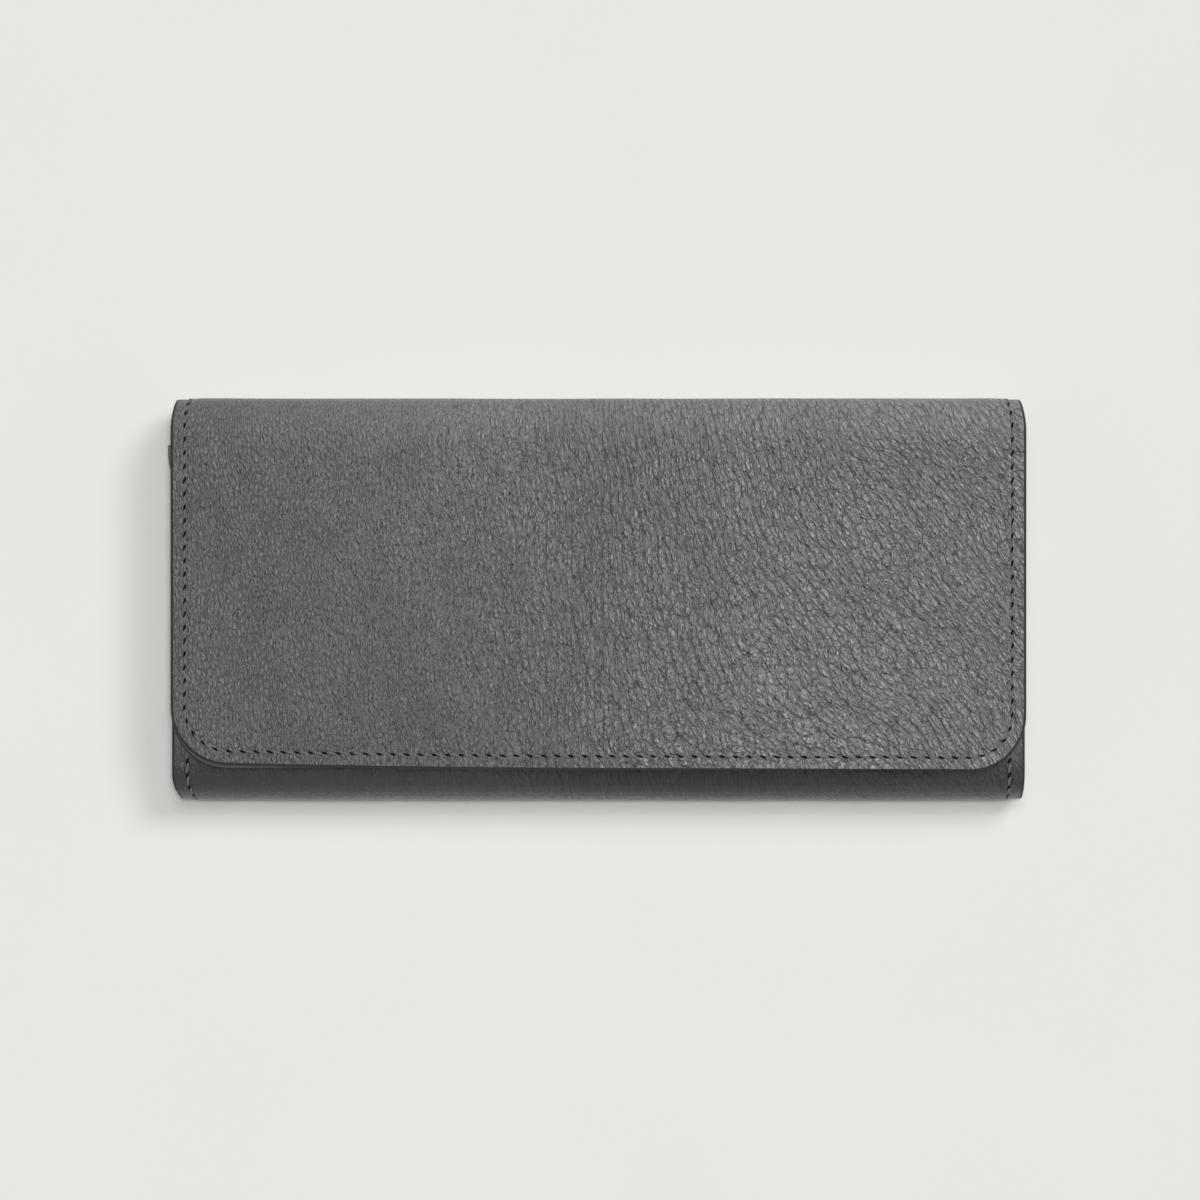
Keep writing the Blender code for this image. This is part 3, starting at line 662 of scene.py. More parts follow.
class Palette:
    """Makes each finish once and hands it out."""

    def __init__(self) -> None:
        """Builds every material of the wallet and the floor."""
        self.hide = MilledCowhide("full_grain_cowhide_milled").make()
        self.lining = SplitLeather("split_leather_pressed").make()
        self.pocket = SplitLeather("split_leather_pocket", "#656566", "#505051").make()
        self.paint = EdgePaint("acrylic_edge_paint").make()
        self.board = BondedBoard("bonded_leather_board").make()
        self.cloth = Weave("polyester_lining_plain_weave").make()
        self.tape = Weave("polyester_zip_tape_twill", "#454547", "#353537", 0.5, 0.785).make()
        self.thread = WaxedThread("waxed_polyester_thread").make()
        self.hole = NeedleHole("raw_fibre_in_shade").make()
        self.nickel = PlatedNickel("nickel_plate_tumbled").make()
        self.turned = PlatedNickel("nickel_plate_turned", "#CBCAC6", 0.24, True).make()
        self.floor = PaintedBoard("matt_painted_board").make()


# ---------------------------------------------------------------- sheets and seams


def distances(line: np.ndarray) -> np.ndarray:
    """How far along a line each of its points lies."""
    return np.concatenate([[0.0], np.cumsum(np.linalg.norm(np.diff(line, axis=0), axis=1))])


def spots(at: np.ndarray | float, marks: np.ndarray, line: np.ndarray) -> np.ndarray:
    """The flat places at some distances along a line whose points lie at the marks."""
    return np.stack([np.interp(at, marks, line[:, i]) for i in (0, 1)], -1)


class Course:
    """A sheet's middle line in one plane, measured along its length."""

    def __init__(self, points: Sequence[Point]) -> None:
        """Measures the line.

        Args:
            points: The line's points in order, close together where it bends.
        """
        self.points = np.array(points, float)
        self.marks = distances(self.points)
        way = np.diff(self.points, axis=0) / np.diff(self.marks)[:, None]
        way = np.vstack([way[:1], way[:-1] + way[1:], way[-1:]])
        way /= np.linalg.norm(way, axis=1)[:, None]
        self.sides = np.column_stack([way[:, 1], -way[:, 0]])
        self.length = float(self.marks[-1])

    def at(self, s: np.ndarray | float) -> tuple[np.ndarray, np.ndarray]:
        """Finds places on the line.

        Args:
            s: Distances along it.

        Returns:
            The points there, and the unit direction to the right of the heading.
        """
        side = spots(s, self.marks, self.sides)
        side = side / np.linalg.norm(side, axis=-1, keepdims=True)
        return spots(s, self.marks, self.points), side


def walk(start: Point, heading: float, legs: Sequence[Point], facets: int = 44) -> list[Point]:
    """Lays out a middle line from straight and round legs.

    Args:
        start: Its first point.
        heading: Direction of travel at the start, in radians.
        legs: Each leg's length and how far it turns to the left, in radians.
        facets: Straight pieces of a round leg.

    Returns:
        The line's points.
    """
    points = [start]
    for length, turn in legs:
        count = facets if turn else 1
        reach = 2 * length / turn * math.sin(turn / count / 2) if turn else length
        for _ in range(count):
            heading += turn / count / 2
            a, b = points[-1]
            points.append((a + reach * math.cos(heading), b + reach * math.sin(heading)))
            heading += turn / count / 2
    return points


def eased(points: Sequence[Point], radius: float, steps: int = 5) -> list[Point]:
    """Rounds the corners of a line.

    Args:
        points: The line's corners.
        radius: How far each corner is cut back along its two sides.
        steps: Facets of each rounding.

    Returns:
        The rounded line.
    """
    line = [Vector(p) for p in points]
    made = [points[0]]
    for before, here, after in zip(line, line[1:], line[2:]):
        cut = min(radius, (before - here).length * 0.48, (after - here).length * 0.48)
        a, b = (here + (end - here).normalized() * cut for end in (before, after))
        for t in (i / steps for i in range(steps + 1)):
            made.append(tuple(a.lerp(here, t).lerp(here.lerp(b, t), t)))
    return made + [points[-1]]


def level(x: np.ndarray, s: np.ndarray, face: int = 1) -> np.ndarray:
    """The relief or drift of a sheet without any unevenness."""
    return np.zeros(np.broadcast(x, s).shape)


def straight(s: np.ndarray) -> np.ndarray:
    """The pinch or sway of a sheet with straight sides."""
    return np.zeros(np.shape(s))


@dataclass
class Sheet:
    """A course drawn out sideways into a sheet with thickness and a rounded edge.

    Sizes are in metres. Start and end are distances along the course. The pinch draws both sides
    in, the sway shifts a row sideways, the drift moves points along the course, and the relief
    lifts a face off the middle line. The margin's lines of points lie that far in from the edge.
    """

    course: Course
    half: float
    thickness: float
    start: float = 0.0
    end: float | None = None
    middle: float = 0.0
    drawn: Drawn = Drawn.ALONG_X
    corners: Point = (0.0, 0.0)
    cut: tuple[bool, bool] = (True, True)
    edge: float = 0.00025
    step: float = 0.0025
    margin: tuple[float, ...] = (0.0,)
    pinch: Callable[[np.ndarray], np.ndarray] = straight
    sway: Callable[[np.ndarray], np.ndarray] = straight
    drift: Callable[[np.ndarray, np.ndarray], np.ndarray] = level
    relief: Relief = level
    closest: float = 0.00012
    closest_share: float = 0.008
    rim: tuple[float, ...] = (18, 42, 66, 90, 114, 138, 162)

    def __post_init__(self) -> None:
        """Takes the whole course where no end is given."""
        if self.end is None:
            self.end = self.course.length

    def place(self, x: np.ndarray, s: np.ndarray, rise: np.ndarray, face: int) -> np.ndarray:
        """Puts points of the flat sheet where they lie in the wallet.

        Args:
            x: Across the sheet, from its middle.
            s: Along the course.
            rise: Off the middle line, to the right of its heading.
            face: Which face's relief they follow.

        Returns:
            The points, with their three numbers last.
        """
        x, s, rise = np.broadcast_arrays(x, s, rise)
        spot, side = self.course.at(s + self.drift(x, s))
        spot = spot + side * (rise + self.relief(x, s, face))[..., None]
        wide = x + self.middle + self.sway(s)
        order = (wide, spot[..., 0]) if self.drawn is Drawn.ALONG_X else (spot[..., 0], wide)
        return np.stack([*order, spot[..., 1]], -1)

    def reach(self, s: np.ndarray, inset: float = 0.0) -> np.ndarray:
        """Half the sheet's width, with its pinch and round corners.

        Args:
            s: Along the course.
            inset: How far inside the outline.

        Returns:
            The half width there.
        """
        s = np.asarray(s, float)
        width = self.half - self.pinch(s) - inset
        for radius, gap in zip(self.corners, (s - self.start - inset, self.end - inset - s)):
            if radius > 0:
                r = max(radius - inset, 1e-6)
                off = np.clip(r - gap, 0, r)
                width = width - (r - np.sqrt(np.maximum(r * r - off * off, 0)))
        return width

    def rows(self) -> np.ndarray:
        """Finds where the sheet has a row of points.

        Returns:
            The distances along the course.
        """
        low = self.start + (self.edge if self.cut[0] else 0)
        high = self.end - (self.edge if self.cut[1] else 0)
        rows = list(np.linspace(low, high, max(2, round((high - low) / self.step) + 1)))
        turns = np.linspace(0, QUARTER, 19)
        for radius, is_cut, at, sign in zip(self.corners, self.cut, (low, high), (1, -1)):
            if radius > 0:
                rows += [at + sign * (radius - self.edge) * (1 - math.cos(t)) for t in turns]
            if is_cut:
                rows += [at + sign * gap for gap in self.margin]
        rows = sorted(r for r in rows if low <= r <= high)
        kept = rows[:1]
        for row in rows[1:]:
            if row - kept[-1] > self.closest:
                kept.append(row)
        kept[-1] = high
        return np.array(kept)

    def columns(self, wide: np.ndarray) -> np.ndarray:
        """The places of the points across each row.

        Args:
            wide: Half width of each row.

        Returns:
            One line of places for each row: an even core, and a margin that follows the sides.
        """
        slim = float(wide.min())
        core = min(slim, self.half - max(self.margin) - self.step) - MM
        core = max(core, 0.3 * slim)
        inner = np.linspace(-1, 1, max(2, round(2 * core / self.step) + 1)) * core
        room = self.half - core
        shares = [min(1.0, max(0.0, 1 - gap / room)) for gap in self.margin]
        shares += list(np.linspace(0, 1, max(2, round(room / self.step)))[1:])
        shares = sorted(set(np.round(shares, 3)) - {0.0})
        gaps = np.diff(shares, prepend=-1.0)
        kept = [share for share, gap in zip(shares, gaps) if gap > self.closest_share]
        kept[-1] = 1.0
        side = core + (wide[:, None] - core) * np.array(kept)
        return np.hstack([-side[:, ::-1], np.tile(inner, (len(wide), 1)), side])

    def outward(self, ring: np.ndarray, ends: Sequence[float]) -> np.ndarray:
        """The flat direction out of the sheet at each point of its rim.

        Args:
            ring: The rim's flat places, in order.
            ends: The first and last row.

        Returns:
            Unit directions, and nought where the sheet meets its neighbour.
        """
        way = np.roll(ring, -1, 0) - np.roll(ring, 1, 0)
        out = np.column_stack([way[:, 1], -way[:, 0]])
        out /= np.maximum(np.linalg.norm(out, axis=1), 1e-12)[:, None]
        for is_cut, row in zip(self.cut, ends):
            if not is_cut:
                on_end = np.isclose(ring[:, 1], row)
                sides = np.abs(np.abs(ring[:, 0]) - np.abs(ring[on_end, 0]).max()) < 1e-9
                out[on_end] = 0
                out[on_end & sides, 0] = np.sign(ring[on_end & sides, 0])
        return out

    def build(self, name: str, materials: Sequence[bpy.types.Material]) -> bpy.types.Object:
        """Makes the sheet's mesh: an outer face, a rim of rings and an inner face.

        Args:
            name: The piece's name.
            materials: The faces' material, then the edge's.

        Returns:
            The new piece.
        """
        rows = self.rows()
        xs = self.columns(self.reach(rows, self.edge))
        high, wide = xs.shape
        grid = np.arange(high * wide).reshape(high, wide)
        loop = np.concatenate([grid[0], grid[1:-1, -1], grid[-1, ::-1], grid[-2:0:-1, 0]])
        flat = np.column_stack([xs.ravel(), np.repeat(rows, wide)])
        ring = flat[loop]
        out = self.outward(ring, (rows[0], rows[-1]))
        layers = [(flat, 1.0, 1)]
        for turn in np.radians(self.rim):
            face = 1 if turn <= QUARTER else -1
            layers.append((ring + out * self.edge * math.sin(turn), math.cos(turn), face))
        layers.append((flat, -1.0, -1))
        points = [
            self.place(p[:, 0], p[:, 1], np.full(len(p), self.thickness / 2 * share), face)
            for p, share, face in layers
        ]
        top = np.stack([grid[:-1, :-1], grid[:-1, 1:], grid[1:, 1:], grid[1:, :-1]], -1)
        top = top.reshape(-1, 4)
        starts = len(flat) + np.arange(len(self.rim) + 1) * len(ring)
        quads = top.tolist() + (top[:, ::-1] + starts[-1]).tolist()
        rings = [loop, *(start + np.arange(len(ring)) for start in starts[:-1]), loop + starts[-1]]
        for near, far in zip(rings, rings[1:]):
            quads += np.column_stack([near, far, np.roll(far, -1), np.roll(near, -1)]).tolist()
        kinds = [0] * (2 * len(top)) + [1] * (len(quads) - 2 * len(top))
        uv = np.vstack([p for p, _, _ in layers])
        return mesh_piece(name, np.vstack(points), quads, materials, kinds, uv)


def mesh_piece(
    name: str,
    points: np.ndarray,
    faces: Sequence[Sequence[int]],
    materials: Sequence[bpy.types.Material],
    kinds: Sequence[int] | None = None,
    uv: np.ndarray | None = None,
    weld: float = 0.0,
) -> bpy.types.Object:
    """Makes a smooth mesh piece and links it to the scene.

    Args:
        name: The piece's name.
        points: Its points.
        faces: Its faces, by point.
        materials: Its materials.
        kinds: Which material each face has.
        uv: Each point's place on the flat sheet, in metres.
        weld: Points that are closer than this become one.

    Returns:
        The new piece.
    """
    mesh = bpy.data.meshes.new(name)
    mesh.from_pydata(points.tolist(), [], [list(f) for f in faces])
    for material in materials:
        mesh.materials.append(material)
    if kinds is not None:
        mesh.polygons.foreach_set("material_index", kinds)
    if uv is not None:
        layer = mesh.uv_layers.new(name=HIDE_MAP)
        corner = np.zeros(len(mesh.loops), np.int32)
        mesh.loops.foreach_get("vertex_index", corner)
        layer.uv.foreach_set("vector", uv[corner].astype(np.float32).ravel())
    tidy = bmesh.new()
    tidy.from_mesh(mesh)
    if weld > 0:
        bmesh.ops.remove_doubles(tidy, verts=tidy.verts, dist=weld)
    bmesh.ops.recalc_face_normals(tidy, faces=tidy.faces)
    tidy.to_mesh(mesh)
    tidy.free()
    mesh.shade_smooth()
    piece = bpy.data.objects.new(name, mesh)
    bpy.context.scene.collection.objects.link(piece)
    return piece


def tube(rings: int, around: int, base: int = 0, capped: bool = True) -> list[list[int]]:
    """Faces round a row of rings of points.

    Args:
        rings: How many rings.
        around: Points of each ring.
        base: The first ring's first point.
        capped: Whether both ends are closed.

    Returns:
        The faces, by point.
    """
    starts = [base + i * around for i in range(rings)]
    faces = []
    for low, high in zip(starts, starts[1:]):
        for j in range(around):
            k = (j + 1) % around
            faces.append([low + j, low + k, high + k, high + j])
    if capped:
        faces += [list(range(start, start + around)) for start in (starts[0], starts[-1])]
    return faces


@dataclass
class Seam:
    """A row of stitches: thread that dips into a dark needle hole at each end."""

    pitch: float = 0.0032
    thread: float = 0.0006
    slant: float = 0.17
    hole: Point = (0.00085, 0.00028)
    hump: float = 0.0002
    groove: float = 0.00016
    hole_slant: float = 1.4
    nearby: float = 0.0003
    length_share: float = 0.86
    sunk_share: float = 0.34
    dish: float = 0.5
    dish_rise: Point = (0.00004, 0.00002)
    plies: int = 7
    hole_sides: int = 10

    def build(
        self,
        name: str,
        palette: Palette,
        rows: Sequence[tuple[Sheet, np.ndarray, Face]],
    ) -> bpy.types.Object:
        """Sews one or more rows into one piece.

        Args:
            name: The piece's name.
            palette: Where the thread's finish comes from.
            rows: Each row's sheet, its line on the flat sheet, and the face that it shows on.

        Returns:
            The new piece.
        """
        points, faces, kinds, uv = [], [], [], []
        base = 0
        for sheet, line, face in rows:
            marks = distances(line)
            count = max(1, int(marks[-1] / self.pitch))
            pitch = marks[-1] / count
            # A ribbon of painted shade runs along the row, in the needle holes' dark finish.
            made = [(self.shade_ribbon(line, marks), 1)]
            for is_hole, shift in ((False, 0.5), (True, 1.0)):
                for at in (np.arange(count) + shift) * pitch:
                    at = min(at, marks[-1] - self.nearby)
                    here, ahead = spots(np.array([at, at + self.nearby]), marks, line)
                    way = (ahead - here) / max(np.linalg.norm(ahead - here), 1e-9)
                    tilt = self.slant * (self.hole_slant if is_hole else 1)
                    cos, sin = math.cos(tilt), math.sin(tilt)
                    way = np.array([way[0] * cos - way[1] * sin, way[0] * sin + way[1] * cos])
                    if is_hole:
                        made.append((self.pit(here, way), 1))
                    else:
                        made.append((self.stitch(here, way, pitch), 0))
            for (flat, rise, own, wrap), kind in made:
                skin = face.value * (sheet.thickness / 2 + rise)
                points.append(sheet.place(flat[:, 0], flat[:, 1], skin, face.value))
                faces += [[base + i for i in quad] for quad in own]
                kinds += [kind] * len(own)
                uv.append(wrap)
                base += len(flat)
        finish = [palette.thread, palette.hole]
        return mesh_piece(name, np.vstack(points), faces, finish, kinds, np.vstack(uv))

    def shade_ribbon(self, line: np.ndarray, marks: np.ndarray, over: float = 0.00003) -> Patch:
        """A thin dark ribbon over the skin beside the thread: painted shade of the dent that the
        tight thread draws.

        Args:
            line: The row's line on the flat sheet.
            marks: How far along it its points lie.
            over: How far over the skin it shows.

        Returns:
            Flat places, heights over the skin, faces and the places again as its map.
        """
        even = np.linspace(0.0, marks[-1], max(3, int(marks[-1] / MM)))
        path = spots(even, marks, line)
        way = np.gradient(path, axis=0)
        side = np.stack([-way[:, 1], way[:, 0]], -1)
        side /= np.linalg.norm(side, axis=1, keepdims=True)
        wide = self.groove * (0.6 + 0.4 * np.sin(even * FULL_TURN / self.pitch))[:, None]
        flat = np.stack([path - side * wide, path + side * wide], 1).reshape(-1, 2)
        quads = [[2 * i, 2 * i + 2, 2 * i + 3, 2 * i + 1] for i in range(len(even) - 1)]
        return flat, np.full(len(flat), over), quads, flat

    def stitch(self, here: np.ndarray, way: np.ndarray, pitch: float) -> Patch:
        """One stitch on the flat sheet.

        Args:
            here: Its middle.
            way: Its direction.
            pitch: Distance from stitch to stitch.

        Returns:
            Flat places, heights over the skin, faces and the thread's own map.
        """
        side = np.array([-way[1], way[0]])
        along = np.linspace(-0.5, 0.5, 8) * (pitch * self.length_share)
        around = np.arange(self.plies) * FULL_TURN / self.plies
        swell = np.sqrt(np.clip(1 - (2 * along / (pitch * 0.9)) ** 4, 0.05, 1)) * self.thread / 2
        sink = self.hump * np.cos(along / pitch * math.pi * 1.15)
        sink -= self.thread * self.sunk_share
        off = swell[:, None] * np.cos(around)
        rise = sink[:, None] + swell[:, None] * np.sin(around)
        flat = here + along[:, None, None] * way + off[..., None] * side
        wrap = np.stack(np.broadcast_arrays(along[:, None], around * MM / FULL_TURN), -1)
        quads = tube(len(along), self.plies)
        return flat.reshape(-1, 2), rise.ravel(), quads, wrap.reshape(-1, 2)

    def pit(self, here: np.ndarray, way: np.ndarray) -> Patch:
        """One needle hole on the flat sheet: a dark, dished slit over the skin, its darkness
        painted shade.

        Args:
            here: Its middle.
            way: Its direction.

        Returns:
            Flat places, heights over the skin, faces and the places again as its map.
        """
        count = self.hole_sides
        side = np.array([-way[1], way[0]])
        turns = np.arange(count) * FULL_TURN / count
        rim = here + (self.hole[0] * np.cos(turns))[:, None] * way
        rim = rim + (self.hole[1] * np.sin(turns))[:, None] * side
        flat = np.vstack([rim, here + (rim - here) * self.dish])
        rise = np.repeat(self.dish_rise, count)
        return flat, rise, tube(2, count, capped=False) + [list(range(count, 2 * count))], flat


def side_line(sheet: Sheet, inset: float, low: float, high: float, sign: int) -> np.ndarray:
    """A seam's line down one side of a sheet.

    Args:
        sheet: The sheet.
        inset: How far in from its outline.
        low: Where it starts along the course.
        high: Where it ends.
        sign: -1 for the left side and 1 for the right.

    Returns:
        The line's places on the flat sheet.
    """
    s = np.linspace(low, high, 60)
    return np.column_stack([sign * sheet.reach(s, inset), s])


def turned(
    name: str,
    outline: Sequence[Point],
    middle: Vector,
    materials: Sequence[bpy.types.Material],
    sides: int = 64,
) -> bpy.types.Object:
    """Turns an outline about an upright axis.

    Args:
        name: The piece's name.
        outline: Radius and height of each point, the first and last on the axis.
        middle: A point of the axis, from which the heights count.
        materials: The piece's material.
        sides: Facets of the round.

    Returns:
        The new piece.
    """
    turns = np.arange(sides) * FULL_TURN / sides
    line = np.array(outline)
    across = [turn(turns) * line[:, :1] for turn in (np.cos, np.sin)]
    ring = np.stack([*across, np.broadcast_to(line[:, 1:], (len(line), sides))], -1)
    points = ring.reshape(-1, 3) + np.array(middle)
    faces = tube(len(line), sides, capped=False)
    return mesh_piece(name, points, faces, materials, None, points[:, :2], 1e-6)


def fasten(piece: bpy.types.Object, body: str, slot: str, *nodes: str) -> None:
    """Lets a piece ride on a body, in place of nodes.

    Args:
        piece: The piece.
        body: The body that carries it.
        slot: Not used.
        *nodes: The nodes that it stands for, if any.
    """
    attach(piece, body)
    if nodes:
        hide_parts(*nodes)
    LOG.info("%s", piece.name)


# ---------------------------------------------------------------- sub-assemblies


class Strip:
    """The wallet's one long strip: front, bottom, back, lower crease, spine, upper crease, flap."""

    def __init__(self, layer: str) -> None:
        """Lays out a layer's middle line from the frame, from the front's mouth to the flap's edge.

        Args:
            layer: "shell" or "lining".
        """
        front, back, flap = (span(f"{part}_{layer}") for part in ("front", "back", "flap"))
        self.half, self.flap_half = back[1].x, flap[1].x
        self.thickness = back[1].z - back[0].z
        front_z, back_z, flap_z = ((low.z + high.z) / 2 for low, high in (front, back, flap))
        bottom = (span("back_shell")[0].y + span("bottom_fold_back")[1].y) / 2
        crease = (span("flap_shell")[1].y + span("fold_flap_shell")[0].y) / 2
        spine_y = sum(corner.y for corner in span(f"spine_{layer}")) / 2
        turn_low, turn_high = (front_z - back_z) / 2, spine_y - crease
        legs = [
            (front[1].y - bottom, 0.0),
            (math.pi * turn_low, math.pi),
            (crease - bottom, 0.0),
            (QUARTER * turn_high, QUARTER),
            (flap_z - back_z - 2 * turn_high, 0.0),
            (QUARTER * turn_high, QUARTER),
            (crease - flap[0].y, 0.0),
        ]
        names = ("mouth", "bottom", "back", "crease", "spine", "upper", "flap", "end")
        ends = np.cumsum([0.0] + [length for length, _ in legs])
        self.marks = dict(zip(names, ends.tolist()))
        self.crown = (self.marks["spine"] + self.marks["upper"]) / 2
        self.course = Course(walk((front[1].y, front_z), math.pi, legs))
        low, high = (corner.z for corner in span("spine_shell"))
        self.creases = (
            ((0, crease, back_z), (0, spine_y, low)),
            ((0, spine_y, high), (0, crease, flap_z)),
        )

    def folds(self, dip: Point) -> tuple[tuple[Sequence[float], Sequence[float]], ...]:
        """Start and end of the bottom fold's bend and of both creases' bends.

        Args:
            dip: How far before and below the bottom fold its bend starts.

        Returns:
            Two points for each of the three.
        """
        y, z = self.course.at(self.marks["bottom"])[0]
        return ((0, y - dip[0], z - dip[1]), (0, y + 0.004, z + 0.001)), *self.creases


@dataclass
class StripLayer:
    """One layer of the strip, cut into front, back and flap sheets that meet in the folds."""

    layer: str
    family: str
    slot: str
    bottoms: tuple[str, ...]
    face: Face
    edge: float
    step: float
    flap_corner: float
    inset: float
    dip: Point
    seam: Seam
    margin: tuple[float, ...] = (0.0,)
    mouth_corner: float = 0.002

    pinch = sway = staticmethod(straight)
    drift = staticmethod(level)

    def relief(self, x: np.ndarray, s: np.ndarray, face: int) -> np.ndarray:
        """The layer's unevenness across and along the strip."""
        raise NotImplementedError

    def skin(self, palette: Palette) -> bpy.types.Material:
        """The layer's material."""
        raise NotImplementedError

    def rows(self, front: Sheet, back: Sheet, flap: Sheet) -> list[list[np.ndarray]]:
        """The lines that are sewn on each sheet: here only round the flap."""
        return [[], [], [self.flap_line(flap, self.strip.marks["flap"])]]

    def flap_line(self, flap: Sheet, start: float) -> np.ndarray:
        """The seam's line round the flap.

        Args:
            flap: The flap's sheet.
            start: Where it starts along the course, at both sides.

        Returns:
            The line from the left side, round the lower edge, to the right side.
        """
        low = flap.end - self.flap_corner
        radius, centre = self.flap_corner - self.inset, flap.half - self.flap_corner
        turns = np.linspace(0, QUARTER, 20)[1:]
        bend = np.column_stack([-centre - radius * np.cos(turns), low + radius * np.sin(turns)])
        half = np.vstack([side_line(flap, self.inset, start, low, -1), bend])
        return np.vstack([half, half[::-1] * np.array([-1, 1])])

    def build(self, palette: Palette) -> None:
        """Builds the three sheets and their seams.

        Args:
            palette: The finishes.
        """
        self.strip = strip = Strip(self.layer)
        m, crown, layer = strip.marks, strip.crown, self.layer
        common = {
            "course": strip.course,
            "thickness": strip.thickness,
            "edge": self.edge,
            "step": self.step,
            "margin": self.margin,
            "pinch": self.pinch,
            "sway": self.sway,
            "relief": self.relief,
        }
        front = Sheet(
            half=strip.half,
            end=m["back"],
            corners=(self.mouth_corner, 0.0),
            cut=(True, False),
            **common,
        )
        back = Sheet(half=strip.half, start=m["back"], end=crown, cut=(False, False), **common)
        flap = Sheet(
            half=strip.flap_half,
            start=crown,
            end=m["end"],
            corners=(0.0, self.flap_corner),
            cut=(False, True),
            drift=self.drift,
            **common,
        )
        sheets = (front, back, flap)
        rooms = (("front", "back", "front"), ("back", "back", "spine"), ("flap", "spine", "flap"))
        stands = (
            (f"front_{layer}", *self.bottoms),
            (f"back_{layer}", f"fold_back_{layer}", f"spine_{layer}"),
            (f"flap_{layer}", f"fold_flap_{layer}", f"spine_{layer}"),
        )
        folds, rows = strip.folds(self.dip), self.rows(*sheets)
        for sheet, (part, *bodies), fold, nodes, lines in zip(sheets, rooms, folds, stands, rows):
            name = f"{self.family}_{part}"
            made = [sheet.build(name, [self.skin(palette), palette.paint])]
            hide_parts(*nodes)
            if lines:
                sewn = [(sheet, line, self.face) for line in lines]
                made.append(self.seam.build(name + "_seam", palette, sewn))
            for piece in made:
                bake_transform(piece)
            LOG.info("%s and its %d rows of stitches", name, len(lines))


@dataclass
class OuterShell(StripLayer):
    """The cowhide strip in three pieces, with its edge paint and seams."""

    layer: str = "shell"
    family: str = "cowhide"
    slot: str = "grained_leather"
    bottoms: tuple[str, ...] = ("bottom_fold_back", "bottom_fold_front")
    face: Face = Face.OUTER
    edge: float = 0.00062
    step: float = 0.0018
    flap_corner: float = 0.0133
    inset: float = 0.0033
    dip: Point = (0.0045, 0.003)
    seam: Seam = field(default_factory=Seam)
    margin: tuple[float, ...] = (
        0.0, 0.0004, 0.0009, 0.0015, 0.0021, 0.0026, 0.003, 0.0034, 0.0038, 0.0043, 0.005,
    )
    top_pinch: float = 0.0011
    bottom_pinch: float = 0.0011
    bottom_sway: float = 0.0007
    side_inset: float = 0.0036
    mouth_inset: float = 0.0032
    mouth_half: float = 0.0962
    # How far the flap's edge runs up at the right and down at the left, and how late it does.
    askew: tuple[float, ...] = (0.0004, 0.0015, 1.7)
    # Height and length of soft swells, and of the small wrinkles where the bottom fold begins.
    swell: Point = (0.00006, 0.03)
    wrinkle: Point = (0.00004, 0.0031)
    wrinkled: tuple[float, ...] = (-0.001, 0.002, 0.007)
    # Depth and width of the dent along a seam, and how far and from where to where the edge is
    # pressed down beside it.
    dent: Point = (0.00011, 0.00055)
    press: tuple[float, ...] = (0.0003, 0.0018, 0.0062)
    # How far the flap's sides sag, and the run over which that sets in.
    sag: Point = (0.00035, 0.03)

    def skin(self, palette: Palette) -> bpy.types.Material:
        """The grained hide."""
        return palette.hide

    def near_fold(self, s: np.ndarray, first: Point, ends: tuple[str, str, str, str]) -> np.ndarray:
        """How near a place is to a fold.

        Args:
            s: Along the course.
            first: Shares of the fold's reach at which it is full and gone.
            ends: Names of the marks on both sides of its middle, and of those at its ends.

        Returns:
            One in the fold, falling to nought beside it.
        """
        a, b, low, high = (self.strip.marks[name] for name in ends)
        reach = (high - low) / 2
        return 1 - smoothstep(np.abs(s - (a + b) / 2), first[0] * reach, first[1] * reach)

    def bottom(self, s: np.ndarray) -> np.ndarray:
        """How near a place is to the bottom fold's middle."""
        return self.near_fold(s, (0.05, 0.75), ("bottom", "back", "bottom", "back"))

    def pinch(self, s: np.ndarray) -> np.ndarray:
        """How far the sides draw in where the strip goes round a fold."""
        top = self.near_fold(s, (0.12, 0.9), ("spine", "upper", "crease", "flap"))
        return self.top_pinch * top + self.bottom_pinch * self.bottom(s)

    def sway(self, s: np.ndarray) -> np.ndarray:
        """The shift that draws the bottom fold's left end in more than its right one."""
        return self.bottom_sway * self.bottom(s)

    def drift(self, x: np.ndarray, s: np.ndarray) -> np.ndarray:
        """The flap's lower edge runs a little askew, as it was cut and turned by hand.

        Args:
            x: Across the flap.
            s: Along it.

        Returns:
            How far points slide towards the edge.
        """
        share = smoothstep(s, self.strip.marks["flap"], self.strip.marks["end"])
        left, right = (np.clip(side * x / self.strip.half, 0, 1) for side in (-1, 1))
        up, down, power = self.askew
        return share * (up * right - down * left**power)

    def relief(self, x: np.ndarray, s: np.ndarray, face: int) -> np.ndarray:
        """The strip's unevenness: seam grooves, soft swells and small wrinkles at the bottom.

        Args:
            x: Across the strip.
            s: Along it.
            face: 1 for the outer face.

        Returns:
            The lift of that face.
        """
        m, half, corner = self.strip.marks, self.strip.half, self.flap_corner
        gap = half - self.pinch(s) - np.abs(x)
        near_end = m["end"] - s
        in_corner = (gap < corner) & (near_end < corner)
        off = np.hypot(corner - gap, corner - near_end)
        gap = np.where(in_corner, corner - off, np.minimum(gap, near_end))
        gap = np.maximum(np.minimum(gap, s + 0.0004), 0)
        lift = self.swell[0] * ripple(x, s, self.swell[1], 4)
        if face > 0:
            seam = self.dent[0] * np.exp(-(((gap - self.inset) / self.dent[1]) ** 2))
            lift = lift - seam - self.press[0] * (1 - smoothstep(gap, *self.press[1:]))
        on_flap = smoothstep(s, m["flap"], m["flap"] + self.sag[1])
        lift = lift - on_flap * self.sag[0] * (x / half) ** 4
        off, *ends = self.wrinkled
        under = 1 - smoothstep(np.abs(s - m["bottom"] - off), *ends)
        wave = np.sin(x * FULL_TURN / self.wrinkle[1] + 2 * np.sin(x * 180))
        return lift + self.wrinkle[0] * under * wave * np.sin(x * 97 + 1)

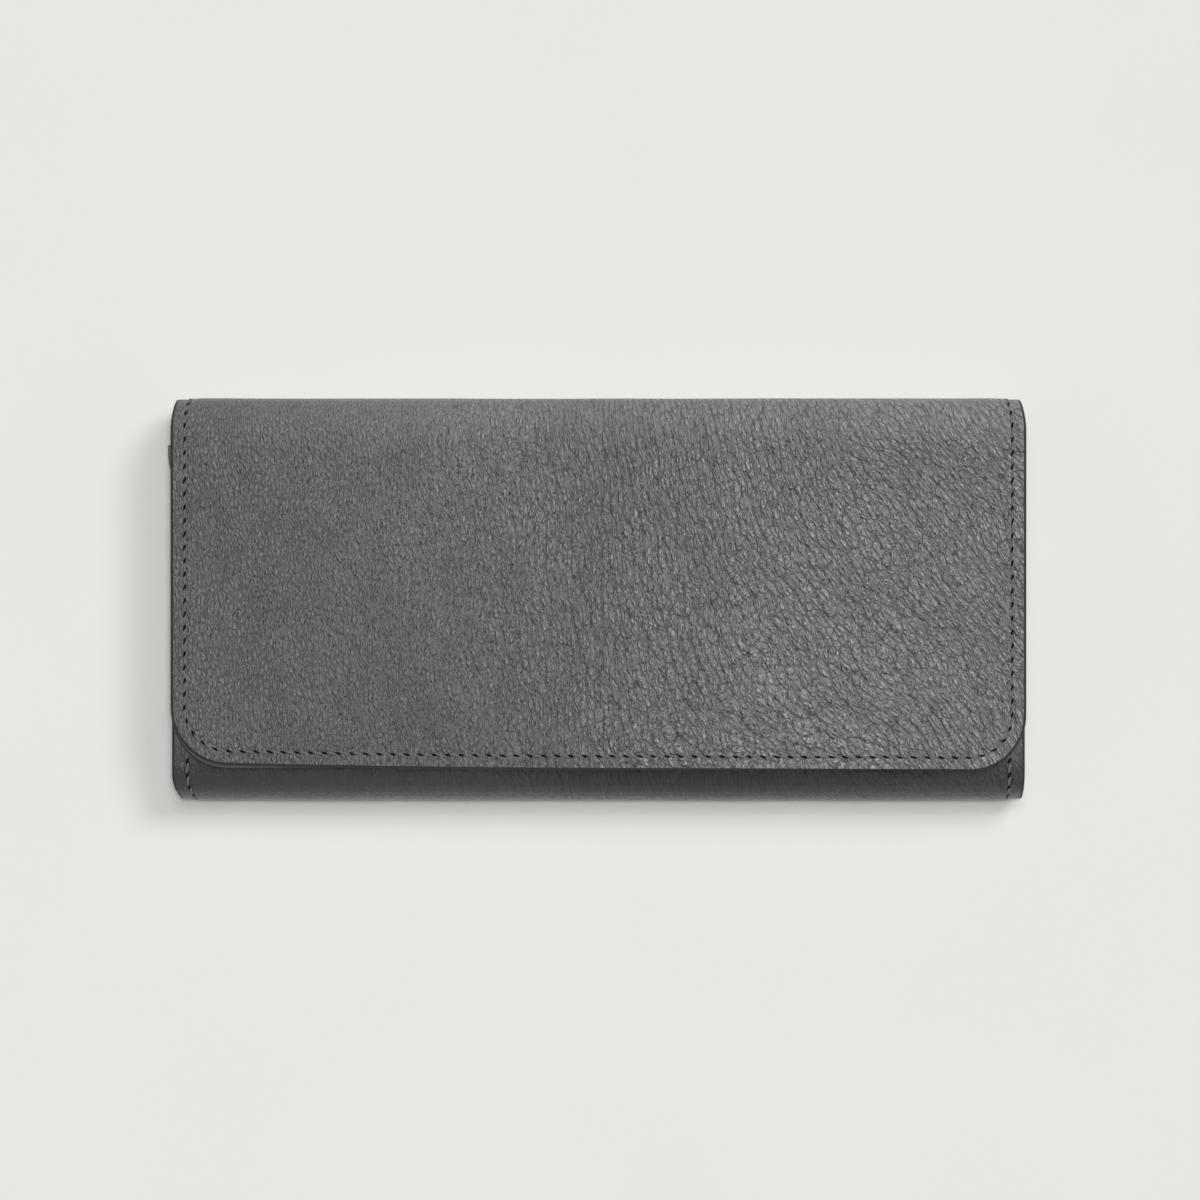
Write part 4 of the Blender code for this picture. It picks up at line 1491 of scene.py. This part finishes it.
    def rows(self, front: Sheet, back: Sheet, flap: Sheet) -> list[list[np.ndarray]]:
        """The lines that are sewn: both sides, the front's mouth and round the flap.

        Args:
            front: The front's sheet, from the mouth on.
            back: The back's sheet, up to the spine's middle.
            flap: The flap's sheet.

        Returns:
            Each sheet's lines.
        """
        inset, turn, crown = self.side_inset, self.strip.marks["back"], self.strip.crown
        across = np.linspace(-self.mouth_half, self.mouth_half, 90)
        mouth = np.column_stack([across, np.full(90, self.mouth_inset)])
        sides = [side_line(front, inset, self.mouth_inset, turn, sign) for sign in (-1, 1)]
        return [
            [*sides, mouth],
            [side_line(back, inset, turn, crown, sign) for sign in (-1, 1)],
            [self.flap_line(flap, crown)],
        ]


@dataclass
class InnerLining(StripLayer):
    """The pressed split that lines front, bottom, back, spine and flap."""

    layer: str = "lining"
    family: str = "lining"
    slot: str = "lining_leather"
    bottoms: tuple[str, ...] = ("bottom_lining",)
    face: Face = Face.INNER
    edge: float = 0.0002
    step: float = 0.003
    flap_corner: float = 0.0129
    inset: float = 0.0029
    dip: Point = (0.004, 0.003)
    seam: Seam = field(
        default_factory=lambda: Seam(0.0032, 0.00042, -0.17, (0.0004, 0.00016), 0.00012)
    )

    def skin(self, palette: Palette) -> bpy.types.Material:
        """The pressed split."""
        return palette.lining

    def relief(self, x: np.ndarray, s: np.ndarray, face: int) -> np.ndarray:
        """A soft unevenness, so that the lining looks pasted by hand."""
        return 0.00005 * ripple(x, s, 0.035, 9)


@dataclass
class CardPockets:
    """Six card leaves on the back lining and two slip pockets on the front lining."""

    corner: float = 0.0015
    crease_gap: float = 0.0016
    crease: Point = (0.00009, 0.0003)
    bow: Point = (0.00006, 0.04)
    step: float = 0.011
    inset: float = 0.002
    margin: tuple[float, ...] = (0.0, 0.0008, 0.0012, 0.0014, 0.0016, 0.0018, 0.002, 0.0025)
    seam: Seam = field(
        default_factory=lambda: Seam(0.0028, 0.0004, 0.15, (0.00034, 0.00014), 0.0001)
    )

    def relief(self, top: float, face_up: int) -> Relief:
        """The leaf's creased top edge and its slight bow.

        Args:
            top: The leaf's length.
            face_up: The face that shows.

        Returns:
            The relief.
        """
        (depth, wide), (rise, run) = self.crease, self.bow

        def made(x: np.ndarray, s: np.ndarray, face: int) -> np.ndarray:
            """The lift at a place of the leaf."""
            line = depth * np.exp(-(((top - s - self.crease_gap) / wide) ** 2))
            return rise * ripple(x, s, run, 3) - (line * face_up if face == face_up else 0)

        return made

    def build(self, palette: Palette) -> None:
        """Builds the eight leaves and their seams.

        Args:
            palette: The finishes.
        """
        rows: dict[str, list[tuple[Sheet, np.ndarray, Face]]] = {"back": [], "front": []}
        sides = ("left", "right")
        leaves = [(f"back_slot_{side}_{i}", "back") for side in sides for i in (1, 2, 3)]
        leaves += [(f"front_slip_{side}", "front") for side in sides]
        for node, body in leaves:
            low, high = span(node)
            rise = (low.z + high.z) / 2
            face = Face.INNER if body == "back" else Face.OUTER
            length = high.y - low.y
            leaf = Sheet(
                course=Course([(low.y, rise), (high.y, rise)]),
                half=(high.x - low.x) / 2,
                middle=(high.x + low.x) / 2,
                thickness=high.z - low.z,
                corners=(0, self.corner),
                edge=0.0002,
                step=0.0035,
                margin=self.margin,
                relief=self.relief(length, face.value),
            )
            name = node.replace("_slot_", "_card_")
            piece = leaf.build(name, [palette.pocket, palette.paint])
            fasten(piece, body, "lining_leather", node)
            # Of each stack only the lowest leaf is sewn down its whole length.
            stacked = body == "back" and not node.endswith("3")
            first = length - self.step if stacked else self.inset
            for sign in (-1, 1):
                line = side_line(leaf, self.inset, first, length - self.crease_gap, sign)
                rows[body].append((leaf, line, face))
        for body, made in rows.items():
            thread = self.seam.build(f"pocket_seam_{body}", palette, made)
            fasten(thread, body, "lining_leather")


@dataclass
class Bellows:
    """The two folded gussets at the ends."""

    bulge: float = 0.0024
    bulge_run: float = 0.013
    bulge_reach: float = 0.0022
    thickness: float = 0.0005
    edge: float = 0.0002
    wall: float = 0.0008
    seat: float = 0.0003
    soft: float = 0.0006
    rim_gap: float = 0.0005
    knee: float = 0.0036
    rounding: float = 0.0009
    soft_folds: Point = (0.00004, 0.012)
    leaves: Point = (0.27, 0.68)

    def build(self, palette: Palette) -> None:
        """Builds both gussets from the frame's folds.

        Args:
            palette: The finishes.
        """
        for side, sign in (("left", -1), ("right", 1)):
            node = f"gusset_{side}"
            low, high = span(node)
            half = (high.y - low.y) / 2
            course = Course(eased([(sign * x, z) for x, z in self.folds()], self.rounding))
            sheet = Sheet(
                course=course,
                half=half,
                middle=(high.y + low.y) / 2,
                thickness=self.thickness,
                drawn=Drawn.ALONG_Y,
                edge=self.edge,
                step=0.0016,
                relief=self.relief(course, sign, half),
            )
            piece = sheet.build(f"bellows_{side}", [palette.lining, palette.paint])
            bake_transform(piece)
            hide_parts(node)
            LOG.info("%s", piece.name)

    def folds(self) -> list[Point]:
        """Lays out the gusset's folds, seen from its mouth.

        Returns:
            The right side's corners across and up, from back to front.
        """
        back, front = span("back_lining")[1], span("front_lining")[0]
        slots = span("back_slot_left_3")[1].z
        low = span("coin_wall_back")[1].z - self.wall
        high = span("coin_wall_front")[0].z + self.wall
        room, soft = low - slots, self.soft
        end_x = back.x - self.seat
        rim_x, knee_x = end_x - self.rim_gap, end_x - self.knee
        crease_x = span("gusset_right")[0].x + self.thickness / 2
        lower = [slots + share * room for share in self.leaves]
        upper = [high + (1 - share) * room for share in reversed(self.leaves)]
        return [
            (end_x, back.z + self.seat),
            (knee_x, lower[0]),
            (crease_x + soft, lower[0]),
            (crease_x, sum(lower) / 2),
            (crease_x + soft, lower[1]),
            (rim_x - soft, lower[1]),
            (rim_x, lower[1] + soft),
            (rim_x, upper[0] - soft),
            (rim_x - soft, upper[0]),
            (crease_x + soft, upper[0]),
            (crease_x, sum(upper) / 2),
            (crease_x + soft, upper[1]),
            (knee_x, upper[1]),
            (end_x, front.z - self.seat),
        ]

    def relief(self, course: Course, sign: int, half: float) -> Relief:
        """Pushes the outer fold out at the left mouth corner, and softens the folds.

        Args:
            course: The gusset's folds.
            sign: -1 for the left gusset.
            half: Half its length.

        Returns:
            The relief.
        """
        bulge = self.bulge * min(sign, 0)
        run = (half - self.bulge_run, half - self.bulge_reach)
        soft = self.soft_folds[1]

        def made(x: np.ndarray, s: np.ndarray, face: int) -> np.ndarray:
            """The lift at a place of the gusset."""
            swell = bulge * np.exp(-(((s - course.length / 2) / self.bulge_reach) ** 2))
            return swell * smoothstep(x, *run) + self.soft_folds[0] * ripple(x, s, soft, 11)

        return made


@dataclass
class CoinPocket:
    """Two leather walls, the cloth pouch between them, and the zip at their head.

    The teeth's stations are their distance from the chain's middle, width and height: clamped
    root, narrow neck and a rounded head.
    """

    pitch: float = 0.0026
    teeth: int = 54
    wall: float = 0.0008
    cloth: float = 0.0003
    tape: float = 0.0004
    clearance: float = 0.0009
    bevel: float = 0.00014
    head_over: float = 0.008
    head_rise: float = 0.0032
    shoulder: Point = (0.0035, 0.0002)
    row_gaps: Point = (0.0013, 0.0038)
    row_inset: float = 0.003
    tape_drop: float = 0.001
    tape_gap: float = 0.0009
    post_room: float = 0.00062
    stations: tuple[tuple[float, float, float], ...] = (
        (0.00150, 0.00070, 0.0016),
        (0.00135, 0.00100, 0.0020),
        (0.00050, 0.00100, 0.0020),
        (0.00025, 0.00062, 0.0015),
        (-0.00020, 0.00066, 0.0014),
        (-0.00050, 0.00096, 0.0013),
        (-0.00070, 0.00050, 0.0009),
    )
    seam: Seam = field(
        default_factory=lambda: Seam(0.0026, 0.0004, 0.15, (0.00034, 0.00014), 0.0001)
    )

    def build(self, palette: Palette) -> None:
        """Builds walls, pouch, tapes and teeth, and dresses the metal parts.

        Args:
            palette: The finishes.
        """
        self.walls(palette)
        self.pouch(palette)
        self.zip_chain(palette)
        for node in ("zip_slider", "zip_pull", "zip_stop"):
            dress(node, palette.nickel, self.bevel)

    def walls(self, palette: Palette) -> None:
        """Builds the two walls with their flared heads and seams.

        Args:
            palette: The finishes.
        """
        rows = []
        low, high = span("zip_half_back")
        head_half = (high.x - low.x) / 2 + self.head_over
        across = np.linspace(-1, 1, 80) * (head_half - self.row_inset)
        flare = span("back_slot_left_1")[1].y + 0.0004
        for side, face in (("back", Face.OUTER), ("front", Face.INNER)):
            node = f"coin_wall_{side}"
            low, high = span(node)
            faces = (low.z + self.wall / 2, high.z - self.wall / 2)
            inner, head = faces if face is Face.INNER else faces[::-1]
            over = flare + self.head_rise
            path = [(low.y, inner), (flare, inner), (over, head), (high.y, head)]
            course = Course(eased(path, 0.0016))
            half = high.x - self.clearance
            by, ends = half - head_half, tuple(flare - low.y - gap for gap in self.shoulder)

            def pinch(s: np.ndarray, by: float = by, ends: Point = ends) -> np.ndarray:
                """Draws the sides in at the shoulder of the head."""
                return by * smoothstep(s, *ends)

            def relief(x: np.ndarray, s: np.ndarray, face: int) -> np.ndarray:
                """A slight unevenness of the wall."""
                return 0.00005 * ripple(x, s, 0.03, 21)

            wall = Sheet(
                course=course,
                half=half,
                thickness=self.wall,
                edge=0.0003,
                step=0.003,
                margin=(0.0, 0.0008, 0.0016, 0.0024, 0.0034),
                pinch=pinch,
                relief=relief,
            )
            piece = wall.build(f"pocket_wall_{side}", [palette.pocket, palette.paint])
            fasten(piece, "divider", "lining_leather", node)
            for gap in self.row_gaps:
                line = np.column_stack([across, np.full(80, course.length - gap)])
                rows.append((wall, line, face))
        thread = self.seam.build("pocket_wall_seam", palette, rows)
        fasten(thread, "divider", "lining_leather")

    def pouch(self, palette: Palette) -> None:
        """Builds the folded cloth pouch.

        Args:
            palette: The finishes.
        """
        low, high = span("coin_pouch")
        near, far = low.z + 0.0002, high.z - 0.0002
        knee = low.y + 0.0009
        path = [(high.y, near), (knee, near), (low.y + 0.0003, (near + far) / 2)]
        course = Course(eased([*path, (knee, far), (high.y, far)], 0.0006))

        def relief(x: np.ndarray, s: np.ndarray, face: int) -> np.ndarray:
            """Small slack folds of the cloth."""
            calm = smoothstep(np.minimum(s, course.length - s), 0.0, 0.01)
            return 0.00012 * ripple(x, s * 0.4, 0.009, 31) * calm

        sheet = Sheet(
            course=course,
            half=high.x,
            thickness=self.cloth,
            edge=self.cloth / 2,
            step=0.002,
            relief=relief,
        )
        piece = sheet.build("pouch_cloth", [palette.cloth, palette.cloth])
        fasten(piece, "divider", "pouch_cloth", "coin_pouch")

    def zip_chain(self, palette: Palette) -> None:
        """Builds the two tapes and their rows of teeth.

        Args:
            palette: The finishes.
        """
        both = [corner.z for side in ("back", "front") for corner in span(f"zip_half_{side}")]
        middle = (min(both) + max(both)) / 2
        for side, sign in (("back", -1), ("front", 1)):
            node = f"zip_half_{side}"
            low, high = span(node)
            tape_y = high.y - self.tape_drop
            outer = (high.z if sign > 0 else low.z) - sign * self.tape / 2
            path = [(tape_y, middle + sign * self.tape_gap), (tape_y, outer), (low.y, outer)]
            tape = Sheet(
                course=Course(eased(path, 0.0007)),
                half=high.x,
                thickness=self.tape,
                edge=0.00018,
                step=0.0025,
            )
            cloth = tape.build(f"zip_tape_{side}", [palette.tape, palette.tape])
            teeth = self.tooth_row(f"zip_teeth_{side}", palette, sign, tape_y, middle)
            fasten(cloth, "divider", "zip_chain", node)
            fasten(teeth, "divider", "zip_chain")

    def tooth_row(
        self, name: str, palette: Palette, sign: int, y: float, z: float
    ) -> bpy.types.Object:
        """A row of cut teeth.

        Args:
            name: The piece's name.
            palette: The finishes.
            sign: -1 for the back half and 1 for the front half.
            y: The tape's level.
            z: The chain's middle.

        Returns:
            The new piece.
        """
        turns = (np.arange(8) + 0.5) * math.pi / 4
        box = np.column_stack([np.cos(turns), np.sin(turns)]) / math.cos(math.pi / 8)
        box = np.clip(box * 1.25, -1, 1)
        points, faces = [], []
        first = -(self.teeth - 1) * self.pitch / 2 + sign * self.pitch / 4
        for i in range(self.teeth):
            faces += tube(len(self.stations), len(box), len(points))
            at = first + i * self.pitch
            # The teeth by the stop are cut short, which leaves room for the slider's post there.
            least = self.post_room if i < 2 else -1.0
            for off, wide, tall in self.stations:
                depth = z + sign * max(off, least)
                points += [(at + a * wide / 2, y + b * tall / 2, depth) for a, b in box]
        made = np.array(points)
        return mesh_piece(name, made, faces, [palette.nickel], None, made[:, :2])


def dress(node: str, material: bpy.types.Material, bevel: float = 0.0) -> None:
    """Gives a node of the frame its finish and, if wanted, softly broken edges.

    Args:
        node: The node's name.
        material: Its finish.
        bevel: Width of the broken edges.
    """
    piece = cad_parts[node]
    piece.data.materials.clear()
    piece.data.materials.append(material)
    if bevel > 0:
        soft = piece.modifiers.new("broken edges", "BEVEL")
        soft.width = bevel
        soft.segments = 2
        soft.limit_method = "ANGLE"
        soft.angle_limit = math.radians(35)
    LOG.info("%s dressed", node)


@dataclass
class PressMagnet:
    """The flat press magnet: a bored ring on the front, a studded plate on the flap, washers."""

    radius: float = 0.007
    rim: float = 0.0008
    stud: float = 0.0006
    plate: float = 0.0005

    def build(self, palette: Palette) -> None:
        """Builds ring and plate, and dresses the washers.

        Args:
            palette: The finishes.
        """
        low, high = span("snap_ring")
        middle = Vector((0, (low.y + high.y) / 2, 0))
        top, base, r = high.z, high.z - self.rim, self.radius
        ring = [
            (0.0, base + 0.0001),
            (0.0012, base + 0.0001),
            (0.0012, low.z + 0.0002),
            (0.0012, base),
            (r - 0.0003, base),
            (r, base + 0.00025),
            (r, top - 0.00035),
            (r - 0.00035, top),
            (r - 0.0010, top),
            (r - 0.0013, top - 0.00018),
            (0.0036, top - 0.00018),
            (0.0033, top),
            (0.0028, top),
            (0.0025, top - 0.0002),
            (0.0025, base + 0.0003),
            (0.0, base + 0.0003),
        ]
        tip = span("snap_plate")[0].z
        under, over = tip + self.stud, tip + self.stud + self.plate
        plate = [
            (0.0, tip),
            (0.0014, tip),
            (0.0018, tip + 0.0002),
            (0.0018, under - 0.0001),
            (0.0021, under),
            (0.0046, under),
            (0.0049, under + 0.00012),
            (0.0056, under + 0.00012),
            (0.0059, under),
            (r - 0.0003, under),
            (r, under + 0.0002),
            (r, over),
            (0.0, over),
        ]
        for part, outline, body in (("ring", ring, "front"), ("plate", plate, "flap")):
            piece = turned(f"magnet_{part}", outline, middle, [palette.turned])
            fasten(piece, body, "snap_steel", f"snap_{part}")
            dress(f"snap_{part}_washer", palette.nickel)


@dataclass
class Stiffeners:
    """The boards inside back, front and flap, which the leather hides."""

    nodes: tuple[str, ...] = ("back_board", "front_board", "flap_board")

    def build(self, palette: Palette) -> None:
        """Dresses the boards.

        Args:
            palette: The finishes.
        """
        for node in self.nodes:
            dress(node, palette.board)


@dataclass(frozen=True)
class Lamp:
    """A far, broad lamp: where it stands, its share of the light on the floor and its width."""

    name: str
    towards: tuple[float, float, float]
    share: float
    width: float
    glints: bool = True


@dataclass
class Studio:
    """The plain floor, soft light from above and the upper right, and the camera overhead.

    The shares of lamps and dome add up to about one, so that a flat colour renders as written.
    """

    floor_half: float = 1.6
    floor_drop: float = 0.00012
    camera_height: float = 3.0
    camera_at: Point = (0.00037, -0.00012)
    frame_width: float = 0.2803
    sensor: float = 36.0
    clip: Point = (0.1, 20.0)
    lamps: tuple[Lamp, ...] = (
        Lamp("overhead", (0.02, 0.04, 1.0), 0.49, 9.0, False),
        Lamp("upper_right", (0.53, 0.54, 1.0), 0.27, 22.0),
        Lamp("upper", (0.03, 0.27, 1.0), 0.19, 18.0),
    )
    dome: float = 0.07
    backdrop: str = "#E8E7E3"

    def build(self, palette: Palette) -> None:
        """Builds floor, lights and camera.

        Args:
            palette: The finishes.
        """
        corners = ((-1, -1), (1, -1), (1, 1), (-1, 1))
        points = [(a * self.floor_half, b * self.floor_half, -self.floor_drop) for a, b in corners]
        floor = mesh_piece("floor", np.array(points), [[0, 1, 2, 3]], [palette.floor])
        scene = bpy.context.scene
        scene.world = self.sky()
        for lamp in self.lamps:
            towards = Vector(lamp.towards).normalized()
            light = bpy.data.lights.new(lamp.name, "SUN")
            light.angle = math.radians(lamp.width)
            light.energy = math.pi * lamp.share / towards.z
            stand = bpy.data.objects.new(lamp.name, light)
            stand.visible_glossy = lamp.glints
            stand.location = towards
            stand.rotation_euler = towards.to_track_quat("Z", "Y").to_euler()
            scene.collection.objects.link(stand)
        camera = bpy.data.cameras.new("camera")
        camera.sensor_width = self.sensor
        camera.lens = self.sensor * self.camera_height / self.frame_width
        camera.clip_start, camera.clip_end = self.clip
        eye = bpy.data.objects.new("camera", camera)
        eye.location = (*self.camera_at, span("flap_shell")[1].z + self.camera_height)
        scene.collection.objects.link(eye)
        scene.camera = eye
        scene.view_settings.view_transform = "Standard"
        LOG.info("studio")

    def sky(self) -> bpy.types.World:
        """A faint even dome, which camera and gloss see as the studio's pale backdrop.

        Returns:
            The scene's world.
        """
        world = bpy.data.worlds.new("studio")
        world.use_nodes = True
        nodes = Shading(world.node_tree)
        seen = add_node(nodes.tree, "LightPath", out="Is Camera Ray")
        for way in ("Is Glossy Ray", "Is Transmission Ray"):
            seen = nodes.math("MAXIMUM", seen, add_node(nodes.tree, "LightPath", out=way))
        strength = nodes.ramp(seen, 0.0, 1.0, self.dome, 1.0)
        sky = nodes.tree.nodes["Background"]
        plug(sky, {"Color": linear(self.backdrop), "Strength": strength})
        return world


def main() -> None:
    """Builds the wallet's sub-assemblies in order, then the studio."""
    logging.basicConfig(level=logging.INFO, format="%(name)s: %(message)s")
    palette = Palette()
    for part in (
        OuterShell(),
        InnerLining(),
        CardPockets(),
        Bellows(),
        CoinPocket(),
        PressMagnet(),
        Stiffeners(),
        Studio(),
    ):
        part.build(palette)


if __name__ == "__main__":
    main()
